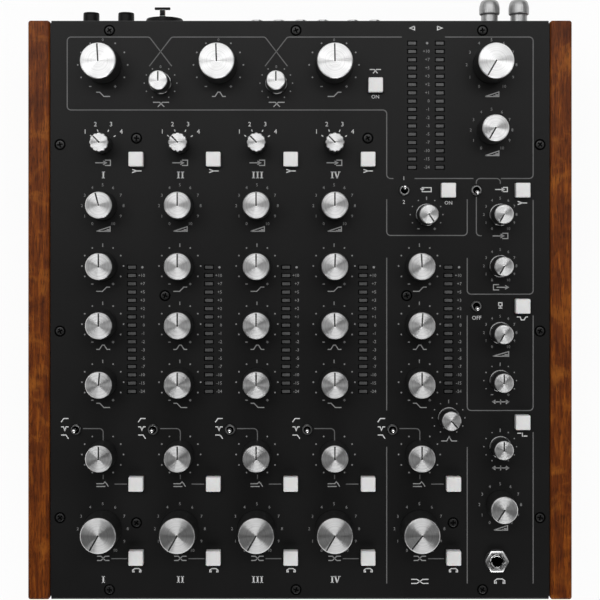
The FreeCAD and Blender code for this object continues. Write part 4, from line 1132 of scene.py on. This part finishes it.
def strip_paths(x):
    """Short lines of one strip: from its toggle to the filter knob, and on to the buttons."""
    filter_y, mix_y = knob_y("filter_knob_1"), knob_y("mix_knob_1")
    stem = x + 0.3
    return [
        [(x - 12.4, filter_y + 16.2), (stem, filter_y + 16.2), (stem, filter_y + 7.8)],
        [(stem, filter_y - 12.6), (stem, filter_y - 15.4)],
        [(x + 7.4, filter_y - 18.5), (x + 15.2, filter_y - 18.5)],
        [(x + 5.4, mix_y - 18.6), (x + 15.4, mix_y - 18.6)],
    ]


def frame_lines(lines):
    """Thin grey lines between and round the controls."""
    paths = [[(x, case_y(y)) for x, y in path] for path in frame_paths()]
    for x in STRIP_X:
        paths += strip_paths(x)
    for path in paths:
        lines.line(rounded(path), LINE_W)


def ring_spot(x, y, radius, angle):
    a = math.radians(angle)
    return x + radius * math.sin(a), y + radius * math.cos(a)


# Knobs by the scale round them: digits; a nought at the top; nothing at the top; signs at both ends
NUMBERED = ("gain_", "mix_", "main_", "booth_", "session_", "mic_gain", "phones_")
NOUGHT_ON_TOP = ("isolator_", "crossover_")
BARE_ON_TOP = ("filter_",)
SIGNED_ENDS = ("high_", "mid_", "low_", "isolator_", "effect_", "mic_tone")


def selector_scale(x, y, signs):
    """Plain digits and ticks at a selector's four stops."""
    for i, spot in enumerate(SELECTOR_DIGITS):
        signs.text(str(i + 1), x + spot[0], y + spot[1], SELECTOR_DIGIT_SIZE)
        tick = Vector(spot).normalized()
        signs.line([(x + tick.x * r, y + tick.y * r) for r in SELECTOR_TICK], SIGN_W)


def end_sign(scales, x, y, upright):
    """A minus, or with its upright a plus."""
    scales.line([(x - END_SIGN_R, y), (x + END_SIGN_R, y)], SIGN_W)
    if upright:
        scales.line([(x, y - END_SIGN_R), (x, y + END_SIGN_R)], SIGN_W)


def scale_of_knob(node, scales, signs):
    """Digits, or dots with a mark in the middle, round one knob."""
    kind, x, y, _ = KNOBS[node]
    if kind == "fluted":
        selector_scale(x, y, signs)
        return
    _, _, _, radius, _ = KNOB_SIZES[kind]
    for step in range(SCALE_STEPS + 1):
        angle = 2 * SWEEP * step / SCALE_STEPS - SWEEP
        spot = ring_spot(x, y, radius, angle)
        if node.startswith(NUMBERED):
            scales.text(str(step), *spot, DIGIT_SIZE * (0.92 if kind == "small" else 1.0))
        elif step == SCALE_STEPS / 2:
            if node.startswith(NOUGHT_ON_TOP):
                scales.text("0", *spot, DIGIT_SIZE * 0.9)
            elif not node.startswith(BARE_ON_TOP):
                scales.line([ring_spot(x, y, radius + side * TOP_MARK_R, angle) for side in (-1, 1)], LINE_W)
        elif step in (0, SCALE_STEPS) and node.startswith(SIGNED_ENDS):
            end_sign(scales, *spot, step > 0)
        else:
            scales.dot(*spot, DOT_R * (0.8 if kind == "small" else 1.0))


# Signs as strokes on a grid from -1 to 1 across and -0.5 to 0.5 up
SIGNS = {
    "low": [[(-1, 0.4), (-0.5, 0.4), (0.1, -0.4), (1, -0.4)]],
    "mid": [[(-1, -0.4), (-0.55, -0.4), (-0.15, 0.42), (0.15, 0.42), (0.55, -0.4), (1, -0.4)]],
    "high": [[(-1, -0.4), (-0.1, -0.4), (0.5, 0.4), (1, 0.4)]],
    "level": [
        [(-1, -0.42), (1, -0.42), (1, 0.45), (-1, -0.42)],
        [(0.2, -0.3), (0.9, -0.3)], [(0.5, -0.1), (0.9, -0.1)]],
    "filter": [
        [(-1, 0.1), (0.0, 0.1), (0.25, 0.45), (0.5, 0.1), (0.75, -0.45)],
        [(-1, -0.42), (0.3, -0.42)]],
    "mix": [
        [(-0.9, 0.4), (-0.3, 0.4), (0.3, -0.4), (0.9, -0.4)],
        [(-0.9, -0.4), (-0.3, -0.4), (0.3, 0.4), (0.9, 0.4)]],
    "cross": [[(-1, 0.4), (-0.2, 0.4), (0.4, -0.45)], [(-0.4, -0.45), (0.2, 0.4), (1, 0.4)]],
    "phones": [
        [(-0.8, -0.45), (-0.8, 0.1), (-0.4, 0.45), (0.4, 0.45), (0.8, 0.1), (0.8, -0.45)],
        [(-0.55, -0.45), (-0.55, 0.0)], [(0.55, -0.45), (0.55, 0.0)]],
    "input": [
        [(-1, 0), (0.35, 0)], [(0.0, 0.35), (0.4, 0.0), (0.0, -0.35)],
        [(0.2, 0.5), (0.9, 0.5), (0.9, -0.5), (0.2, -0.5)]],
    "output": [
        [(-0.2, 0.5), (-0.9, 0.5), (-0.9, -0.5), (-0.2, -0.5)], [(-0.5, 0), (0.9, 0)],
        [(0.55, 0.35), (0.95, 0.0), (0.55, -0.35)]],
    "join": [[(-0.9, 0.4), (0.0, 0.0), (0.9, 0.0)], [(-0.9, -0.4), (0.0, 0.0)]],
    "loop": [
        [(-0.7, 0.1), (-0.7, 0.45), (0.7, 0.45), (0.7, -0.45), (-0.7, -0.45), (-0.7, -0.25)],
        [(-1.0, 0.25), (-0.7, -0.05), (-0.4, 0.25)]],
    "mic": [
        [(-0.3, -0.1), (-0.3, 0.5), (0.3, 0.5), (0.3, -0.1), (-0.3, -0.1)],
        [(0, -0.2), (0, -0.5)], [(-0.35, -0.5), (0.35, -0.5)]],
    "dip": [[(-1, 0.35), (-0.4, 0.35), (-0.2, -0.4), (0.3, -0.4), (0.6, 0.35), (1, 0.35)]],
    "balance": [
        [(-1, 0), (1, 0)], [(0, -0.45), (0, 0.45)],
        [(-0.65, 0.35), (-1, 0), (-0.65, -0.35)], [(0.65, 0.35), (1, 0), (0.65, -0.35)]],
    "split": [[(-0.9, 0.35), (-0.2, 0.35)], [(0.2, -0.35), (0.9, -0.35)], [(0, -0.5), (0, 0.5)]],
    "peak": [[(-1, -0.35), (-0.3, -0.35), (0.0, 0.5), (0.3, -0.35), (1, -0.35)]],
    "high_pass": [[(-1, -0.45), (-0.3, 0.4), (1, 0.4)]],
    "notch": [[(-1, 0.4), (-0.35, 0.4), (0, -0.45), (0.35, 0.4), (1, 0.4)]],
    "low_pass": [[(-1, 0.4), (0.3, 0.4), (1, -0.45)]],
    "to_left": [[(0.6, 0.45), (-0.6, 0.0), (0.6, -0.45), (0.6, 0.45)]],
    "to_right": [[(-0.6, 0.45), (0.6, 0.0), (-0.6, -0.45), (-0.6, 0.45)]],
}


def sign(signs, name, x, y, width, height):
    for stroke in SIGNS[name]:
        signs.line([(x + u * width / 2, y + v * height) for u, v in stroke], SIGN_W)


KNOB_SIGNS = {
    "isolator_low": "low", "isolator_mid": "mid", "isolator_high": "high", "crossover": "cross",
    "main_level": "level", "booth_level": "level", "session_in": "input", "session_out": "output",
    "mic_gain": "level", "mic_tone": "balance", "resonance": "peak", "cue_pan": "balance",
    "phones_level": "level", "source": "input", "gain": "level", "high": "high", "mid": "mid", "low": "low",
    "filter": "filter", "mix": "mix",
}


def sign_under_knob(node, labels):
    """The sign of a knob's use. The effect send knob has none."""
    kind, x, y, _ = KNOBS[node]
    names = [name for start, name in KNOB_SIGNS.items() if node.startswith(start)]
    if not names:
        return
    _, _, _, _, drop = KNOB_SIZES[kind]
    if node.startswith("filter_"):
        drop = FILTER_SIGN_DROP
    width = WIDE_SIGN_W if kind in ("large", "medium") else SMALL_KNOB_SIGN_W
    sign(labels, names[0], x + 0.3, y - drop, width, KNOB_SIGN_H)


def numeral_bar(signs, x, y):
    """The upright of a numeral, with a serif at each end."""
    half, end = NUMERAL_H / 2, NUMERAL_H / 2 - SERIF / 2
    signs.line([(x, y - half), (x, y + half)], NUMERAL_BAR)
    for serif_y in (y - end, y + end):
        signs.line([(x - 0.95, serif_y), (x + 0.95, serif_y)], SERIF)


def numeral_wedge(signs, x, y):
    """The pointed letter of a numeral: a thick stroke, a thin one, and serifs on top."""
    half, spread = NUMERAL_H / 2, 1.3
    serif_y = y + half - SERIF / 2
    for side, thick in ((-spread, NUMERAL_BAR), (spread, NUMERAL_BAR * 0.6)):
        signs.line([(x + side, y + half), (x, y - half)], thick)
        signs.line([(x + side - 0.8, serif_y), (x + side + 0.8, serif_y)], SERIF)


def roman(signs, count, x, y):
    """Plain roman numerals from one to four."""
    letters = ("I", "II", "III", "IV")[count - 1]
    wedge_room = 0.6 if "V" in letters else 0.0
    left = x - (NUMERAL_PITCH * (len(letters) - 1) + wedge_room) / 2
    for i, letter in enumerate(letters):
        if letter == "I":
            numeral_bar(signs, left + NUMERAL_PITCH * i, y)
        else:
            numeral_wedge(signs, left + NUMERAL_PITCH * i + wedge_room, y)


METER_MARKS = ("+10", "+7", "+5", "+3", "+2", "+1", "0", "-1", "-2", "-3", "-5", "-7", "-10", "-15", "-24")


def meter_scales(scales, signs):
    """Digits beside the channel meters and between the two main ones."""
    windows = [(round(x, 1), round(y, 2)) for x, y, _, _ in meter_windows()]
    main_low = knob_y("gain_knob_1") + 20
    main = [(x, y) for x, y in windows if y > main_low]
    main_x = sorted({x for x, _ in main})
    main_rows = sorted({y for _, y in main}, reverse=True)
    first_x = min(x for x, _ in windows)
    channel_rows = sorted({y for x, y in windows if x == first_x}, reverse=True)
    scale_rows = [(sum(main_x) / 2 + MAIN_METER_DIGIT_X, main_rows)]
    scale_rows += [(x + METER_DIGIT_X, channel_rows) for x in STRIP_X]
    for x, rows in scale_rows:
        scales.dot(x - OVERLOAD_DOT_LEFT, rows[0], OVERLOAD_DOT_R)
        for y, mark in zip(rows[1:], METER_MARKS):
            scales.text(mark, x, y, METER_DIGIT_SIZE, "RIGHT")
    for x, name in zip(main_x, ("to_left", "to_right")):
        sign(signs, name, x, main_rows[0] + METER_SIGN_RISE, *METER_SIGN)


# Signs and words beside single controls: place across and up from the middle of the case, then size
LONE_SIGNS = (
    ("cross", 47.1, 149.2, 7.0, 2.8), ("loop", 79.2, 75.2, 8.0, 2.8), ("input", 126.0, 75.3, 8.0, 2.6),
    ("join", 139.0, 66.9, 6.6, 2.5), ("mic", 125.2, 2.9, 7.0, 3.4), ("dip", 139.0, -5.2, 7.0, 2.5),
    ("split", 139.0, -77.9, 7.0, 2.5),
)
LONE_WORDS = (
    ("ON", 47.1, 133.2, 3.2), ("1", 64.9, 82.3, 3.4), ("2", 64.9, 67.4, 3.4), ("ON", 92.8, 66.9, 3.2),
    ("OFF", 110.4, -5.0, 3.4),
)
FILTER_MODES = (("high_pass", 21.4), ("notch", 16.2), ("low_pass", 11.1))


def other_signs(signs):
    """Signs that stand by buttons, levers and the phones socket."""
    filter_y, mix_y, source_y = (knob_y(f"{name}_knob_1") for name in ("filter", "mix", "source"))
    for i, x in enumerate(CHANNEL_X):
        roman(signs, i + 1, x + 0.4, source_y - 19.4)
        roman(signs, i + 1, x + 0.4, mix_y - 31.6)
        sign(signs, "join", x + 21.3, source_y - 16.9, 6.6, 2.5)
    for x in STRIP_X:
        for name, rise in FILTER_MODES:
            sign(signs, name, x - 23.7, filter_y + rise, 4.6, 2.7)
        sign(signs, "phones", x + 21.3, mix_y - 26.0, 6.4, 2.7)
    sign(signs, "mix", STRIP_X[4] + 0.3, mix_y - 32.8, 12.0, 3.2)
    sign(signs, "phones", RIGHT_X - 0.3, mix_y - 32.8, 8.0, 3.4)
    for name, x, y, width, height in LONE_SIGNS:
        sign(signs, name, x, case_y(y), width, height)
    for word, x, y, size in LONE_WORDS:
        signs.text(word, x, case_y(y), size)


def make_print():
    lines, scales, labels, signs = Print(), Print(), Print(), Print()
    frame_lines(lines)
    meter_scales(scales, signs)
    for node in KNOBS:
        scale_of_knob(node, scales, signs)
        sign_under_knob(node, labels)
    other_signs(signs)
    lines.place("panel_lines", "line")
    scales.place("panel_scales", "scale")
    labels.place("panel_labels", "label")
    signs.place("panel_signs", "sign")


# Carried-over solids, and the heights at which the boards' node changes its material

BOARD_DROP = 14.0
BOARD_THICK = 1.7
MAIN_BOARD_TOP = 20.0
PAINTED_SHADE_DEPTH = 3.0


def dress_nodes():
    finishes = {
        "top_panel": "panel", "chassis_tray": "tray", "wood_cheeks": "wood", "rubber_feet": "rubber",
        "case_screws": "screw",
    }
    for node, key in finishes.items():
        set_materials(frame["nodes"][node].data, [key])
    boards = frame["nodes"]["circuit_boards"].data
    set_materials(boards, ["part_black", "board", "black_and_shade"])
    board_top = PANEL_Z - BOARD_DROP
    for polygon in boards.polygons:
        z = polygon.center.z / MM
        is_board = board_top - BOARD_THICK < z < board_top + 0.05 or z < MAIN_BOARD_TOP
        # Faces of the boards this close under the panel's top, round the meter windows, are painted
        # near-black as shade
        polygon.material_index = 2 if z > PANEL_Z - PAINTED_SHADE_DEPTH else int(is_board)


# Stage

def make_floor():
    """Plain white floor that keeps the object's shadow."""
    bpy.ops.mesh.primitive_plane_add(size=60.0, location=(0, 0, -0.0002))
    floor = bpy.context.object
    floor.name = "studio_floor"
    material, tree, blend = material_of("floor_white", "ShaderNodeMixShader")
    diffuse = add_node(tree, "ShaderNodeBsdfDiffuse")
    diffuse.inputs["Color"].default_value = grey(0.92)
    glow = add_node(tree, "ShaderNodeEmission")
    glow.inputs["Strength"].default_value = 1.0
    path = add_node(tree, "ShaderNodeLightPath")
    seen = math_node(tree, "MAXIMUM", path.outputs["Is Camera Ray"], path.outputs["Is Glossy Ray"])
    seen = math_node(tree, "MAXIMUM", seen, path.outputs["Is Transmission Ray"])
    put(tree, blend.inputs["Fac"], math_node(tree, "MULTIPLY", seen, 0.93))
    tree.links.new(diffuse.outputs["BSDF"], blend.inputs[1])
    tree.links.new(glow.outputs["Emission"], blend.inputs[2])
    floor.data.materials.append(material)


def area_light(name, place, target, size, power):
    data = bpy.data.lights.new(name, "AREA")
    data.shape = "RECTANGLE"
    data.size, data.size_y = size
    data.energy = power
    lamp = bpy.data.objects.new(name, data)
    bpy.context.scene.collection.objects.link(lamp)
    lamp.location = place
    lamp.rotation_euler = (Vector(target) - Vector(place)).to_track_quat("-Z", "Y").to_euler()
    return lamp


def make_light():
    """Soft boxes round the table, strongest at the rear, and a dim surround that is palest overhead."""
    panel = (0, 0, 0.09)
    area_light("rear_softbox", (-0.158, 0.622, 1.41), (-0.092, -0.642, 0.0), (2.4, 0.5), 13.5)
    area_light("rear_reflector", (-0.29, 1.142, 0.814), panel, (2.4, 1.1), 7.0)
    fill = area_light("overhead_fill", (0.0, 0.1, 1.7), panel, (2.0, 2.0), 3.5)
    fill.visible_glossy = False
    area_light("front_softbox", (0.2, -1.6, 0.95), panel, (1.6, 0.7), 15.0)
    for side in (-1, 1):
        area_light("side_softbox", (1.25 * side, 0.0, 1.1), panel, (0.9, 1.4), 2.5)
    world = bpy.data.worlds.new("studio")
    bpy.context.scene.world = world
    world.use_nodes = True
    tree = world.node_tree
    up = parts_of(tree, add_node(tree, "ShaderNodeTexCoord").outputs["Generated"])
    surround = tree.nodes["Background"]
    surround.inputs["Color"].default_value = grey(1.0)
    front = remap(tree, up["Y"], -0.21, -0.14, 0.0, 0.17)
    rear = remap(tree, up["Y"], -0.04, 0.08, 0.17, 0.06)
    overhead = math_node(tree, "MINIMUM", front, rear)
    put(tree, surround.inputs["Strength"], remap(tree, up["Z"], 0.12, 0.34, 0.05, overhead))


def make_camera():
    """Looks straight down, as far away as the photograph's perspective asks."""
    field = PHOTO_PIXELS * MM_PER_PIXEL
    data = bpy.data.cameras.new("photo_camera")
    data.sensor_width = SENSOR
    data.lens = SENSOR * CAMERA_RISE / field
    data.shift_x = -CAMERA_X / field
    data.shift_y = (VIEW_MIDDLE_Y - CAMERA_Y) / field
    camera = bpy.data.objects.new("photo_camera", data)
    camera.location = (CAMERA_X * MM, case_y(CAMERA_Y) * MM, (PANEL_Z + CAMERA_RISE) * MM)
    bpy.context.scene.collection.objects.link(camera)
    bpy.context.scene.camera = camera


make_camera()
make_light()
make_floor()
dress_nodes()
make_knobs()
make_buttons()
make_levers()
make_meter_lenses()
make_screw_heads()
make_sockets()
make_print()
bpy.context.scene.view_settings.view_transform = "Standard"
